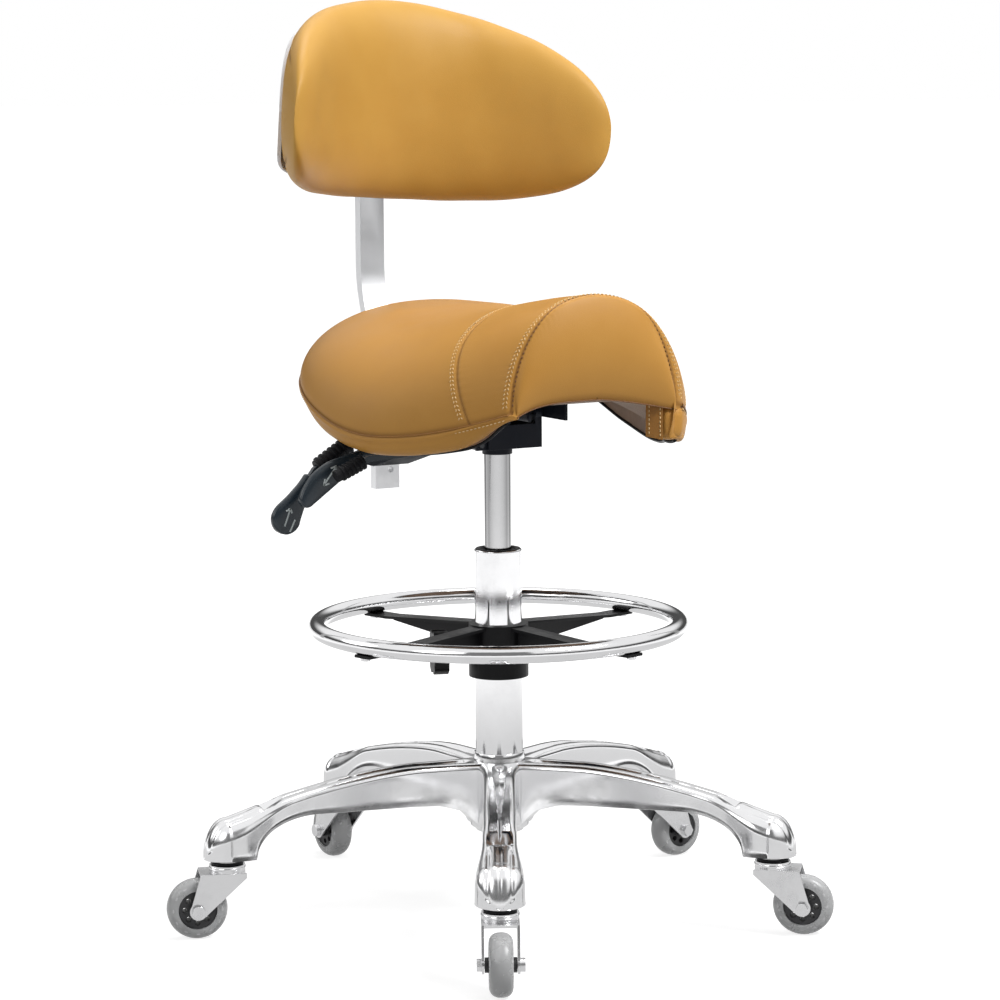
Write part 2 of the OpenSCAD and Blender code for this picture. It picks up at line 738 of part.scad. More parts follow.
module back_bracket() {
  half = cheek_in + wall;
  color([0.12, 0.13, 0.16]) difference() {
    union() {
      for (side = [-1, 1]) side_plate(side * (cheek_in + wall / 2) - wall / 2, side * (cheek_in + wall / 2) + wall / 2)
        union() {
          translate([recline_f, recline_z]) circle(8);
          polygon([[recline_f, recline_z + 8], [recline_f, recline_z - 8], [-100, recline_z - 16], [-100, recline_z]]);
        }
      side_plate(-half, half) polygon([[-84, recline_z + 2], [-84, recline_z - 13], [-100, recline_z - 18], [-100, recline_z]]);
      side_plate(-bracket_w / 2, bracket_w / 2) polygon([[-96, recline_z], [-96, recline_z - 17], [-160, recline_z - 36],
        [clamp_wall - bar_y + bar_t / 2, clamp_low], [clamp_wall - bar_y + bar_t / 2, clamp_low + clamp_h], [-180, clamp_low + clamp_h]]);
      translate([-bracket_w / 2, bar_y - bar_t / 2 - clamp_wall, clamp_low])
        cube([bracket_w, bar_t + 2 * clamp_wall, clamp_h]);
    }
    translate([-bar_w / 2 - fit, bar_y - bar_t / 2 - fit, clamp_low - 1]) cube([bar_w + 2 * fit, bar_t + 2 * fit, clamp_h + 2]);
    translate([0, -recline_f, recline_z]) rod_x(hinge_r + fit, 2 * half + 2);
    translate([0, bar_y, clamp_low + clamp_h / 2]) rotate([-90, 0, 0]) cylinder(r = stud_r + fit, h = 40);
  }
}

module bar_clamp_knob() {
  color([0.1, 0.1, 0.1]) translate([0, bar_y + bar_t / 2 + gap, clamp_low + clamp_h / 2]) rotate([-90, 0, 0]) {
    cylinder(r = stud_r, h = clamp_wall + 4);
    translate([0, 0, clamp_wall + 2]) cylinder(r = small_knob_r, h = 14);
  }
}

// Middle of the bar, as [distance behind the column, height]
bar_line = concat(
  [[bar_y, bar_foot], [bar_y, under_z - 3]],
  [for (t = [0.1 : 0.1 : 1]) [bar_y + (pad_pivot_y - bar_y) * ease(t), under_z - 3 + 120 * t]],
  [[pad_pivot_y, pad_pivot_z]]);
function bar_normal(k) = let (a = bar_line[max(0, k - 1)], b = bar_line[min(len(bar_line) - 1, k + 1)], d = b - a)
  [d[1], -d[0]] / norm(d);

module back_bar() {
  last = len(bar_line) - 1;
  color("whitesmoke") difference() {
    union() {
      side_plate(-bar_w / 2, bar_w / 2) polygon(concat(
        [for (k = [0 : last]) let (p = bar_line[k] + bar_normal(k) * bar_t / 2) [-p[0], p[1]]],
        [for (k = [last : -1 : 0]) let (p = bar_line[k] - bar_normal(k) * bar_t / 2) [-p[0], p[1]]]));
      translate([0, pad_pivot_y, pad_pivot_z]) rod_x(8, bar_w);
    }
    translate([0, pad_pivot_y, pad_pivot_z]) rod_x(pad_pin_r + fit, bar_w + 2);
    translate([4, bar_y + bar_t, bar_hole_z]) rotate([90, 0, 0]) cylinder(r = 3, h = 2 * bar_t);
  }
}

// Back rest pad

pad_top = pad_rise * back_h;
pad_low = back_h - pad_top;
function pad_up(s) = pad_top * pow(max(0, 1 - pow(abs(s), 1.85)), 0.54);
function pad_down(s) = pad_low * pow(max(0, 1 - pow(abs(s), 3.8)), 0.26);
function pad_depth(s) = back_t * pow(max(0, 1 - pow(abs(s), 5)), 0.4);

function pad_point(s, radius, z) = let (a = s * back_wrap) [radius * sin(a), radius * cos(a) - pad_cy, z];
function pad_loop(s) = let (d = pad_depth(s) / 2, up = pad_up(s), low = pad_down(s), h = (up + low) / 2,
    mid = pad_tip_z + (up - low) / 2, n = 20)
  [for (j = [0 : n - 1]) let (a = j * 360 / n)
    pad_point(s, back_r - d - d * spow(cos(a), 0.93), mid + h * spow(sin(a), 0.76))];

module pad_cushion() {
  n = 13;
  color([0.78, 0.56, 0.27]) sweep([for (i = [-n : n]) pad_loop(0.985 * sin(i * 90 / n))]);
}

// The shell stays inside the outline of the cushion
module pad_shell() {
  n = 10;
  reach = 0.74;
  margin = 16;
  color("whitesmoke") difference() {
    sweep([for (i = [-n : n]) let (s = reach * sin(i * 90 / n),
        top = pad_tip_z + pad_up(s) - margin, low = pad_tip_z - pad_down(s) + margin)
      [pad_point(s, back_r + gap, low), pad_point(s, back_r + gap, top),
        pad_point(s, back_r + gap + pad_shell_t, top), pad_point(s, back_r + gap + pad_shell_t, low)]]);
    at_pad_screws() cylinder(r = 2.5, h = 12);
  }
}

module pad_bracket() {
  reach = pad_pivot_y - pad_back_y;
  color([0.12, 0.13, 0.16]) difference() {
    union() {
      translate([-26, pad_back_y, pad_pivot_z - 22]) cube([52, 4, 44]);
      for (side = [-1, 1]) side_plate(side * (pad_cheek_in + wall / 2) - wall / 2, side * (pad_cheek_in + wall / 2) + wall / 2)
        union() {
          translate([-pad_pivot_y, pad_pivot_z]) circle(9);
          translate([-pad_pivot_y, pad_pivot_z - 9]) square([reach - 1, 18]);
        }
    }
    translate([0, pad_pivot_y, pad_pivot_z]) rod_x(pad_pin_r, 60);
    at_pad_screws() cylinder(r = 2.5, h = 20);
  }
}
module at_pad_screws() {
  for (x = [-20, 20]) for (z = [-14, 14]) translate([x, pad_back_y - 3, pad_pivot_z + z]) rotate([-90, 0, 0]) children();
}
module pad_screws() {
  color("silver") at_pad_screws() {
    cylinder(r = 2.5, h = 7);
    translate([0, 0, 7]) cylinder(r = 4.5, h = 3);
  }
}
module pad_hinge_pin() {
  color("silver") translate([0, pad_pivot_y, pad_pivot_z]) rod_x(pad_pin_r, 2 * (pad_cheek_in + wall) + 4);
}

base_casting();
column_tube();
guide_bush();
column_floor();
bearing_balls();
caster_stems();
ring_tube();
ring_spider();
ring_screws();
ring_clamp_knob();
gas_rod();
gas_piston();
retaining_clip();
bearing_race();
bump_stop();
gas_tube();
housing();
lever_shaft();
hinge_pins();
release_pin();
seat_plate();
seat_screws();
seat_shell();
seat_lining();
seat_cushion();
back_bracket();
bar_clamp_knob();
back_bar();
pad_hinge_pin();
pad_bracket();
pad_screws();
pad_shell();
pad_cushion();
height_lever();
height_paddle();
tilt_lever();
tilt_paddle();
tilt_boot();
recline_lever();
recline_grip();
caster_fork(1);  // caster_fork_1
caster_fork(2);  // caster_fork_2
caster_fork(3);  // caster_fork_3
caster_fork(4);  // caster_fork_4
caster_fork(5);  // caster_fork_5
caster_axle(1);  // caster_axle_1
caster_axle(2);  // caster_axle_2
caster_axle(3);  // caster_axle_3
caster_axle(4);  // caster_axle_4
caster_axle(5);  // caster_axle_5
caster_hub(1);  // caster_hub_1
caster_hub(2);  // caster_hub_2
caster_hub(3);  // caster_hub_3
caster_hub(4);  // caster_hub_4
caster_hub(5);  // caster_hub_5
caster_tyre(1);  // caster_tyre_1
caster_tyre(2);  // caster_tyre_2
caster_tyre(3);  // caster_tyre_3
caster_tyre(4);  // caster_tyre_4
caster_tyre(5);  // caster_tyre_5
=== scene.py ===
import json
import math

import bmesh
import bpy
import numpy as np
from mathutils import Matrix, Vector


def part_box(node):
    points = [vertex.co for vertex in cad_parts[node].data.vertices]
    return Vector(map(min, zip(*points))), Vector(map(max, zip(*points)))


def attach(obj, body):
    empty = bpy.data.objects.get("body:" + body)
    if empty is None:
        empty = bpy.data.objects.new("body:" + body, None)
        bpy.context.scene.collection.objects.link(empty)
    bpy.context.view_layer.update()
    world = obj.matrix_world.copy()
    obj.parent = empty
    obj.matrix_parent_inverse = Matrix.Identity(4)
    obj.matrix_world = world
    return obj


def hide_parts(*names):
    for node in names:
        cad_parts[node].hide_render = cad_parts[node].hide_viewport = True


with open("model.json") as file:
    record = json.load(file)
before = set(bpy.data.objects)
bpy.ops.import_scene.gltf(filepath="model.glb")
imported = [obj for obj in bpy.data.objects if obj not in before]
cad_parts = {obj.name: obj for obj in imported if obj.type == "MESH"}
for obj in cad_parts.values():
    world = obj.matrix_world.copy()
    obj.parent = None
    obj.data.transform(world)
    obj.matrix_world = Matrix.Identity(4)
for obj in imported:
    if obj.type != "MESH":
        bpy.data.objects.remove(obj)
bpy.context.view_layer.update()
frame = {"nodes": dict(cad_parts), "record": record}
nodes = frame["nodes"]
bodyOf = {n: body for body, members in frame["record"]["behaviour"]["bodies"].items() for n in members}
print("frame loaded:", len(nodes), "nodes")

# Camera at the photograph's viewing angle
camera = {"place": (-1.7793, -3.0868, 0.9089), "ahead": (0.5, 0.866), "pitch": 0.1301, "roll": 0.0066, "lens": 123.39,
          "sensor": 36, "near": 0.1, "far": 60}


def newObject(name, data):
    made = bpy.data.objects.new(name, data)
    bpy.context.scene.collection.objects.link(made)
    return made


def makeCamera():
    level = math.cos(camera["pitch"])
    ahead = Vector((camera["ahead"][0] * level, camera["ahead"][1] * level, -math.sin(camera["pitch"])))
    right = Vector((camera["ahead"][1], -camera["ahead"][0], 0))
    up = right.cross(ahead)
    c, s = math.cos(camera["roll"]), math.sin(camera["roll"])
    right, up = c * right - s * up, s * right + c * up
    data = bpy.data.cameras.new("camera")
    data.lens, data.sensor_width = camera["lens"], camera["sensor"]
    data.clip_start, data.clip_end = camera["near"], camera["far"]
    made = newObject("camera", data)
    made.matrix_world = Matrix.Translation(camera["place"]) @ Matrix((right, up, -ahead)).transposed().to_4x4()
    bpy.context.scene.camera = made


makeCamera()
bpy.context.scene.view_settings.view_transform = "Standard"


# Small helpers for node trees
def plug(tree, socket, value):
    if isinstance(value, bpy.types.NodeSocket):
        tree.links.new(value, socket)
    else:
        socket.default_value = value


def fill(tree, node, inputs):
    for key, value in inputs.items():
        plug(tree, node.inputs[key], value)


def put(tree, kind, inputs=None, **settings):
    made = tree.nodes.new("ShaderNode" + kind)
    for key, value in settings.items():
        setattr(made, key, value)
    fill(tree, made, inputs or {})
    return made


def maths(tree, operation, a, b):
    return put(tree, "Math", {0: a, 1: b}, operation=operation).outputs[0]


def plus(tree, a, b):
    return maths(tree, "ADD", a, b)


def times(tree, a, b):
    return maths(tree, "MULTIPLY", a, b)


def ranged(tree, value, low, high, newLow=0, newHigh=1):
    inputs = {0: value, 1: low, 2: high, 3: newLow, 4: newHigh}
    return put(tree, "MapRange", inputs, interpolation_type="SMOOTHSTEP").outputs[0]


def mixed(tree, factor, first, second, kind="MIX"):
    made = tree.nodes.new("ShaderNodeMix")
    made.data_type, made.blend_type = "RGBA", kind
    plug(tree, made.inputs[0], factor)
    for socket, value in ((made.inputs[6], first), (made.inputs[7], second)):
        plug(tree, socket, (*value, 1) if isinstance(value, tuple) else value)
    return made.outputs[2]


def noise(tree, place, scale, detail=3, rough=0.55):
    inputs = {"Vector": place, "Scale": scale, "Detail": detail, "Roughness": rough}
    return put(tree, "TexNoise", inputs).outputs["Fac"]


def wave(tree, place, scale, distortion, direction):
    inputs = {"Vector": place, "Scale": scale, "Distortion": distortion}
    return put(tree, "TexWave", inputs, bands_direction=direction).outputs["Fac"]


def newGroup(name, extra, gives):  # a group that takes a position and one value more
    group = bpy.data.node_groups.new(name, "ShaderNodeTree")
    for label, kind, value in (("Position", "Vector", None), extra):
        socket = group.interface.new_socket(name=label, in_out="INPUT", socket_type="NodeSocket" + kind)
        if value is not None:
            socket.default_value = value
    for label in gives:
        group.interface.new_socket(name=label, in_out="OUTPUT", socket_type="NodeSocketFloat")
    return group, group.nodes.new("NodeGroupInput").outputs, group.nodes.new("NodeGroupOutput").inputs


def placed(tree, group, **inputs):
    made = tree.nodes.new("ShaderNodeGroup")
    made.node_tree = group
    fill(tree, made, inputs)
    return made.outputs


def emptied(owner, kind):  # the node tree of a material or world, with nothing but its output
    owner.use_nodes = True
    tree = owner.node_tree
    tree.nodes.clear()
    return tree, tree.nodes.new("ShaderNodeOutput" + kind).inputs["Surface"]


def newMaterial(name, colour, rough, metal=0):
    made = bpy.data.materials.new(name)
    tree, surface = emptied(made, "Material")
    shader = put(tree, "BsdfPrincipled", {"Base Color": (*colour, 1), "Roughness": rough, "Metallic": metal})
    plug(tree, surface, shader.outputs["BSDF"])
    return made, tree, shader, tree.nodes.new("ShaderNodeTexCoord").outputs["Object"]


def bumped(tree, shader, height, strength, distance):
    made = put(tree, "Bump", {"Height": height, "Strength": strength, "Distance": distance})
    plug(tree, shader.inputs["Normal"], made.outputs["Normal"])


def shaded(colour, factor):
    return tuple(min(1, c * factor) for c in colour)


# Shared effects, each built once
def makeGrainGroup():  # pebbled hide: cells with soft valleys, fine pores, and slow changes of tone
    group, takes, gives = newGroup("hideGrain", ("Cells", "Float", 700), ("Height", "Mottle"))
    place = takes["Position"]
    warp = put(group, "TexNoise", {"Vector": place, "Scale": 160, "Detail": 2}).outputs["Color"]
    moved = put(group, "VectorMath", {0: warp, 1: (0.0016, 0.0016, 0.0016)}, operation="MULTIPLY").outputs[0]
    bent = put(group, "VectorMath", {0: place, 1: moved}, operation="ADD").outputs[0]
    cells = put(group, "TexVoronoi", {"Vector": bent, "Scale": takes["Cells"]}, feature="DISTANCE_TO_EDGE")
    pebble = ranged(group, cells.outputs["Distance"], 0, 0.22)
    folds = noise(group, place, 26, 3, 0.5)
    height = plus(group, times(group, pebble, 0.55), times(group, noise(group, place, 1900, 2), 0.3))
    plug(group, gives["Height"], plus(group, height, times(group, folds, 0.6)))
    slow = times(group, noise(group, place, 7, 4), 0.7)
    plug(group, gives["Mottle"], plus(group, slow, times(group, folds, 0.3)))
    return group


def makeHandlingGroup():  # hairline scratches, smears, and dust on what looks up
    stretch = ("Stretch", "Vector", (1, 1, 9))
    group, takes, gives = newGroup("handlingMarks", stretch, ("Hairline", "Smear", "Dust"))
    place = takes["Position"]
    long = put(group, "VectorMath", {0: place, 1: takes["Stretch"]}, operation="MULTIPLY").outputs[0]
    plug(group, gives["Hairline"], ranged(group, noise(group, long, 420, 4, 0.7), 0.3, 0.7))
    plug(group, gives["Smear"], ranged(group, noise(group, place, 21, 5, 0.62), 0.36, 0.7))
    upward = put(group, "SeparateXYZ", {0: group.nodes.new("ShaderNodeNewGeometry").outputs["Normal"]}).outputs["Z"]
    specks = ranged(group, noise(group, place, 240, 3, 0.7), 0.45, 0.75)
    plug(group, gives["Dust"], times(group, ranged(group, upward, 0.2, 1), specks))
    return group


def makeMouldGroup():  # the eroded texture of a moulding tool
    group, takes, gives = newGroup("mouldTexture", ("Fineness", "Float", 900), ("Height", "Tone"))
    plug(group, gives["Height"], noise(group, takes["Position"], takes["Fineness"], 3, 0.6))
    plug(group, gives["Tone"], noise(group, takes["Position"], 34, 4, 0.6))
    return group


def makeWeaveGroup():  # plain weave of two crossing threads
    group, takes, gives = newGroup("plainWeave", ("Threads", "Float", 520), ("Height", "Tone"))
    across, along = (wave(group, takes["Position"], takes["Threads"], 0.6, side) for side in "XY")
    plug(group, gives["Height"], times(group, across, along))
    plug(group, gives["Tone"], noise(group, takes["Position"], 60, 3))
    return group


hideGrain, handlingMarks = makeGrainGroup(), makeHandlingGroup()
mouldTexture, plainWeave = makeMouldGroup(), makeWeaveGroup()

# Finishes
# painted shade: seam is the dark colour painted along the seams, beside the piping and on the panel's lower edge, and
# seamShade how much of it
hide = {"colour": (0.56, 0.275, 0.056), "deep": (0.52, 0.245, 0.046), "pale": (0.6, 0.305, 0.068),
        "seam": (0.15, 0.058, 0.012), "seamShade": 0.62, "mirror": (0.11, 0.108, 0.105), "rough": 0.42,
        "shine": 0.26, "grainDepth": 0.0002, "cells": 760}
# painted light: the pad's leather is a paler copy of the seat's, for the pad's brighter lighting
padHidePaintedLight = {**hide, "colour": (0.61, 0.335, 0.068), "deep": (0.57, 0.3, 0.057), "pale": (0.65, 0.368, 0.082)}
# painted shade: the piping and the strip beside the flap's end get a darker copy of the seat's leather
weltHidePaintedShade = {**hide, "colour": (0.33, 0.15, 0.032), "deep": (0.27, 0.12, 0.026), "pale": (0.38, 0.18, 0.042)}
dustTone = {"metal": (0.45, 0.44, 0.42), "plastic": (0.5, 0.48, 0.45)}
tyreTones = {"plain": (0.58, 0.585, 0.59), "deep": (0.52, 0.525, 0.53), "pale": (0.7, 0.705, 0.71)}
# painted reflection: the rod's colour is darkened in lines beside its edges, where its reflections fall: how far it
# faces away, and its grey there
rodPaintedReflections = ((0, 0.84), (0.1, 0.7), (0.26, 0.44), (0.44, 0.62), (0.6, 0.1), (0.72, 0.55), (0.9, 0.9))


def makeHide(name, values):
    made, tree, shader, place = newMaterial(name, values["colour"], values["rough"])
    grain = placed(tree, hideGrain, Position=place, Cells=values["cells"])
    tone = mixed(tree, ranged(tree, grain["Mottle"], 0.32, 0.68), values["deep"], values["pale"])
    tone = mixed(tree, 0.45, values["colour"], tone)
    # painted shade: the seam attribute darkens the leather where shade falls in its seams and under its piping
    seam = put(tree, "Attribute", attribute_name="seam").outputs["Fac"]
    tone = mixed(tree, times(tree, seam, values["seamShade"]), tone, values["seam"])
    glossy = tree.nodes.new("ShaderNodeLightPath").outputs["Is Glossy Ray"]  # metal below shows the seat as plain grey
    rough = ranged(tree, grain["Mottle"], 0.3, 0.7, values["rough"] - 0.06, values["rough"] + 0.08)
    fill(tree, shader, {"Base Color": mixed(tree, glossy, tone, values["mirror"]),
                        "Roughness": plus(tree, rough, times(tree, seam, 0.12)), "Specular IOR Level": values["shine"]})
    bumped(tree, shader, grain["Height"], 0.42, values["grainDepth"])
    return made


def makeMetal(name, colour, rough, spread, stretch=9, hair=0.05, swell=0, paintedBands=()):
    made, tree, shader, place = newMaterial(name, colour, rough, 1)
    marks = placed(tree, handlingMarks, Position=place, Stretch=(1, 1, stretch))
    tone = mixed(tree, times(tree, marks["Smear"], 0.5), colour, shaded(colour, 0.9))
    tone = mixed(tree, times(tree, marks["Dust"], 0.02), tone, dustTone["metal"])
    # painted reflection: grey bands by how far the surface faces away from the camera, multiplied into the colour
    if paintedBands:
        ramp = tree.nodes.new("ShaderNodeValToRGB")
        for k, (position, grey) in enumerate(paintedBands):
            stop = ramp.color_ramp.elements[k] if k < 2 else ramp.color_ramp.elements.new(position)
            stop.position, stop.color = position, (grey, grey, grey, 1)
        plug(tree, ramp.inputs[0], put(tree, "LayerWeight", {"Blend": 0.5}).outputs["Facing"])
        tone = mixed(tree, 1, tone, ramp.outputs[0], "MULTIPLY")
    fill(tree, shader, {"Base Color": tone, "Roughness": ranged(tree, marks["Smear"], 0, 1, rough, rough + spread)})
    uneven = plus(tree, times(tree, marks["Hairline"], hair), times(tree, noise(tree, place, 48, 2), swell))
    bumped(tree, shader, uneven, 0.25, 0.0004)
    return made


def makePlastic(name, colour, rough, depth, fineness=900, shine=0.25):
    made, tree, shader, place = newMaterial(name, colour, rough)
    mould = placed(tree, mouldTexture, Position=place, Fineness=fineness)
    marks = placed(tree, handlingMarks, Position=place)
    tone = mixed(tree, mould["Tone"], shaded(colour, 0.82), shaded(colour, 1.14))
    fill(tree, shader, {"Base Color": mixed(tree, times(tree, marks["Dust"], 0.05), tone, dustTone["plastic"]),
                        "Roughness": ranged(tree, marks["Smear"], 0, 1, rough, rough + 0.1),
                        "Specular IOR Level": shine})
    bumped(tree, shader, mould["Height"], 0.3, depth)
    return made


def makeTyreRubber(name):
    made, tree, shader, place = newMaterial(name, tyreTones["plain"], 0.24)
    mould = placed(tree, mouldTexture, Position=place, Fineness=500)
    fill(tree, shader, {"Base Color": mixed(tree, mould["Tone"], tyreTones["deep"], tyreTones["pale"]),
                        "Roughness": ranged(tree, mould["Tone"], 0.3, 0.7, 0.18, 0.34),
                        "Transmission Weight": 0.3, "IOR": 1.46})
    bumped(tree, shader, mould["Height"], 0.15, 0.0003)
    return made


def makeCloth(name, colour):
    made, tree, shader, place = newMaterial(name, colour, 0.88)
    weave = placed(tree, plainWeave, Position=place)
    fill(tree, shader, {"Base Color": mixed(tree, weave["Tone"], shaded(colour, 0.85), shaded(colour, 1.1)),
                        "Roughness": ranged(tree, weave["Tone"], 0.3, 0.7, 0.82, 0.95), "Sheen Weight": 0.25})
    bumped(tree, shader, weave["Height"], 0.35, 0.0005)
    return made


def makeThread(name, colour):
    made, tree, shader, place = newMaterial(name, colour, 0.6)
    twist = wave(tree, place, 900, 1, "DIAGONAL")
    fill(tree, shader, {"Base Color": mixed(tree, twist, shaded(colour, 0.75), colour),
                        "Roughness": ranged(tree, twist, 0, 1, 0.5, 0.72)})
    bumped(tree, shader, twist, 0.4, 0.0002)
    return made


tanLeather, padLeatherPaintedLight = makeHide("tanLeather", hide), makeHide("padLeatherPaintedLight", padHidePaintedLight)
weltLeatherPaintedShade = makeHide("weltLeatherPaintedShade", weltHidePaintedShade)
# shadeThread is thread in painted shade colour, for stitches and a cord that lie in shade
seatThread, shadeThread = makeThread("seatThread", (0.95, 0.69, 0.34)), makeThread("shadeThread", (0.22, 0.1, 0.03))
chrome = makeMetal("chrome", (0.82, 0.82, 0.83), 0.045, 0.07)
rodChromePaintedBands = makeMetal("rodChromePaintedBands", (0.82, 0.82, 0.83), 0.07, 0.06, paintedBands=rodPaintedReflections)
polishedAlloy = makeMetal("polishedAlloy", (0.86, 0.86, 0.87), 0.1, 0.12, 1, 0.04, 0.1)
zincSteel = makeMetal("zincSteel", (0.8, 0.8, 0.81), 0.2, 0.14, 5, 0.1)
darkSteel = makeMetal("darkSteel", (0.06, 0.062, 0.066), 0.3, 0.14, 5, 0.1)
satinSilver = makeMetal("satinSilver", (0.9, 0.905, 0.92), 0.36, 0.1, 5, 0.06)
blackPlastic = makePlastic("blackPlastic", (0.006, 0.006, 0.007), 0.38, 0.0003, shine=0.18)
blackPaint = makePlastic("blackPaint", (0.004, 0.004, 0.005), 0.34, 0.0002, 400, 0.18)
navyPaint = makePlastic("navyPaint", (0.012, 0.015, 0.024), 0.36, 0.0003, 600, 0.16)
bracketPaint = makePlastic("bracketPaint", (0.01, 0.012, 0.017), 0.55, 0.0003, 600, 0.07)
navyPlastic = makePlastic("navyPlastic", (0.02, 0.03, 0.04), 0.24, 0.0002, 700, 0.42)
blackRubber = makePlastic("blackRubber", (0.008, 0.008, 0.01), 0.5, 0.0005, 500, 0.2)
whitePlastic = makePlastic("whitePlastic", (0.86, 0.86, 0.87), 0.38, 0.0003, shine=0.5)
greyPlastic = makePlastic("greyPlastic", (0.045, 0.045, 0.048), 0.34, 0.0003, shine=0.4)
clearPlastic = makePlastic("clearPlastic", (0.62, 0.62, 0.63), 0.16, 0.0001, shine=0.5)
paleMark = makePlastic("paleMark", (0.6, 0.66, 0.66), 0.5, 0.0001, shine=0.4)
# the lining is its own pinkish beige, darkened with painted shade because it lies in shadow under the seat
tyreRubber, liningClothPaintedShade = makeTyreRubber("tyreRubber"), makeCloth("liningClothPaintedShade", (0.42, 0.29, 0.21))
print("finishes made:", len(bpy.data.materials))


# Curves and arrays of points
def ease(t):  # from 0 to 1, level at both ends
    t = np.clip(t, 0, 1)
    return t * t * (3 - 2 * t)


def grown(x, start, run, amount=1):  # a smooth step of that amount, from start over a run that may go backwards
    return amount * ease((x - start) / run)


def bell(distance, width):
    return np.exp(-(distance / width) ** 2)


def signedPower(v, power):
    return np.sign(v) * np.abs(v) ** power


def roundEnd(t, power=2):  # the height of a rounded end where t goes from 0 to 1
    return np.maximum(0, 1 - t ** power) ** (1 / power)


def degrees(low, high, count):
    return np.radians(np.linspace(low, high, count))


def allRound(count):
    return np.linspace(0, 2 * np.pi, count, endpoint=False)


def joined(*parts):  # points from coordinates of matching shapes
    return np.stack(np.broadcast_arrays(*parts), -1)


def unit(v):
    return v / np.maximum(np.linalg.norm(v, axis=-1, keepdims=True), 1e-12)


def lengthAlong(line):
    return np.concatenate([[0], np.cumsum(np.linalg.norm(np.diff(line, axis=0), axis=1))])


def resampled(values, known, at):
    return np.stack([np.interp(at, known, column) for column in values.T], -1)


def blurred(values, kernel):
    return np.convolve(values, kernel / kernel.sum(), mode="valid")


def gridQuads(rows, cols, wrapRows=False, wrapCols=False):
    a, b = np.arange(rows if wrapRows else rows - 1), np.arange(cols if wrapCols else cols - 1)
    a, b = np.meshgrid(a, b, indexing="ij")
    c, d = (a + 1) % rows, (b + 1) % cols
    return np.stack([a * cols + b, a * cols + d, c * cols + d, c * cols + b], -1).reshape(-1, 4)


def capped(grid, ends=None):  # points, quads and triangles of a grid that runs round, with a fan over each end
    rows, count = grid.shape[:2]
    ring, n = np.arange(count), rows * count
    following = (ring + 1) % count
    fans = [np.stack([ring, following, np.full(count, n)], -1),
            np.stack([following + n - count, ring + n - count, np.full(count, n + 1)], -1)]
    ends = [grid[0].mean(0), grid[-1].mean(0)] if ends is None else ends
    return np.concatenate([grid.reshape(-1, 3), ends]), gridQuads(rows, count, False, True), np.concatenate(fans)


def surfaceNormals(grid, row=0, col=0, towards=None):
    # unit normals from the grid's two directions, turned so that the one at row and col looks the given way
    normal = unit(np.cross(np.gradient(grid, axis=0), np.gradient(grid, axis=1)))
    return -normal if towards is not None and normal[row, col] @ np.array(towards) < 0 else normal


# Meshes from those arrays
def smoothed(mesh, sharp):
    mesh.polygons.foreach_set("use_smooth", [True] * len(mesh.polygons))
    if sharp:
        mesh.set_sharp_from_angle(angle=math.radians(sharp))


def meshObject(name, points, quads, triangles=(), finish=None, body=None, attributes=None, outward=True, sharp=None):
    points, quads = np.asarray(points, float).reshape(-1, 3), np.asarray(quads, int).reshape(-1, 4)
    triangles = np.asarray(triangles, int).reshape(-1, 3)
    mesh = bpy.data.meshes.new(name)
    mesh.vertices.add(len(points))
    mesh.vertices.foreach_set("co", points.ravel())
    mesh.loops.add(quads.size + triangles.size)
    mesh.loops.foreach_set("vertex_index", np.concatenate([quads.ravel(), triangles.ravel()]).astype(np.int32))
    mesh.polygons.add(len(quads) + len(triangles))
    starts = np.concatenate([np.arange(len(quads)) * 4, quads.size + np.arange(len(triangles)) * 3])
    mesh.polygons.foreach_set("loop_start", starts.astype(np.int32))
    for key, values in (attributes or {}).items():
        mesh.attributes.new(key, "FLOAT", "POINT").data.foreach_set("value", np.asarray(values, np.float32).ravel())
    mesh.update(calc_edges=True)
    mesh.validate()
    if outward:  # faces point outwards, whichever way the grid ran
        work = bmesh.new()
        work.from_mesh(mesh)
        bmesh.ops.remove_doubles(work, verts=work.verts, dist=1e-6)
        bmesh.ops.recalc_face_normals(work, faces=work.faces)
        work.to_mesh(mesh)
        work.free()
    smoothed(mesh, sharp)
    made = newObject(name, mesh)
    if finish:
        mesh.materials.append(finish)
    if body:
        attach(made, body)
    return made


def owned(piece, node=None):  # hides the CAD solid that a piece stands for, when one is given, and gives back the piece
    if node:
        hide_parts(node)
    return piece


def thinSheet(name, grid, thick, finish, body, sharp=None):
    # a surface given a thickness along its normals, closed at its four edges
    rows, cols = grid.shape[:2]
    count = rows * cols
    at = np.arange(count).reshape(rows, cols)
    rim = np.concatenate([at[0], at[1:, -1], at[-1, -2::-1], at[-2:0:-1, 0]])
    edge = np.stack([rim, np.roll(rim, -1), np.roll(rim, -1) + count, rim + count], -1)
    points = np.concatenate([grid, grid + surfaceNormals(grid) * thick]).reshape(-1, 3)
    quads = np.concatenate([gridQuads(rows, cols), gridQuads(rows, cols) + count, edge])
    return meshObject(name, points, quads, (), finish, body, sharp=sharp)


def lathe(name, profile, centre, finish, body, sides=96, sharp=32, turn=None):
    profile = np.asarray(profile, float)  # rings of [radius, height], turned about a vertical line
    rings = []
    for a, b in zip(profile, np.roll(profile, -1, 0)):  # a long wall gets a ring near each end, so that it shades flat
        rings.append(a)
        length = np.linalg.norm(b - a)
        if length > 0.004:
            rings += [a + (b - a) * 0.0006 / length, b - (b - a) * 0.0006 / length]
    profile, angle = np.array(rings), allRound(sides)
    grid = joined(profile[:, :1] * np.cos(angle), profile[:, :1] * np.sin(angle), profile[:, 1:])
    if turn is not None:
        grid = grid @ np.array(turn).T
    quads = gridQuads(len(profile), sides, True, True)
    return meshObject(name, grid + np.asarray(centre), quads, finish=finish, body=body, sharp=sharp)


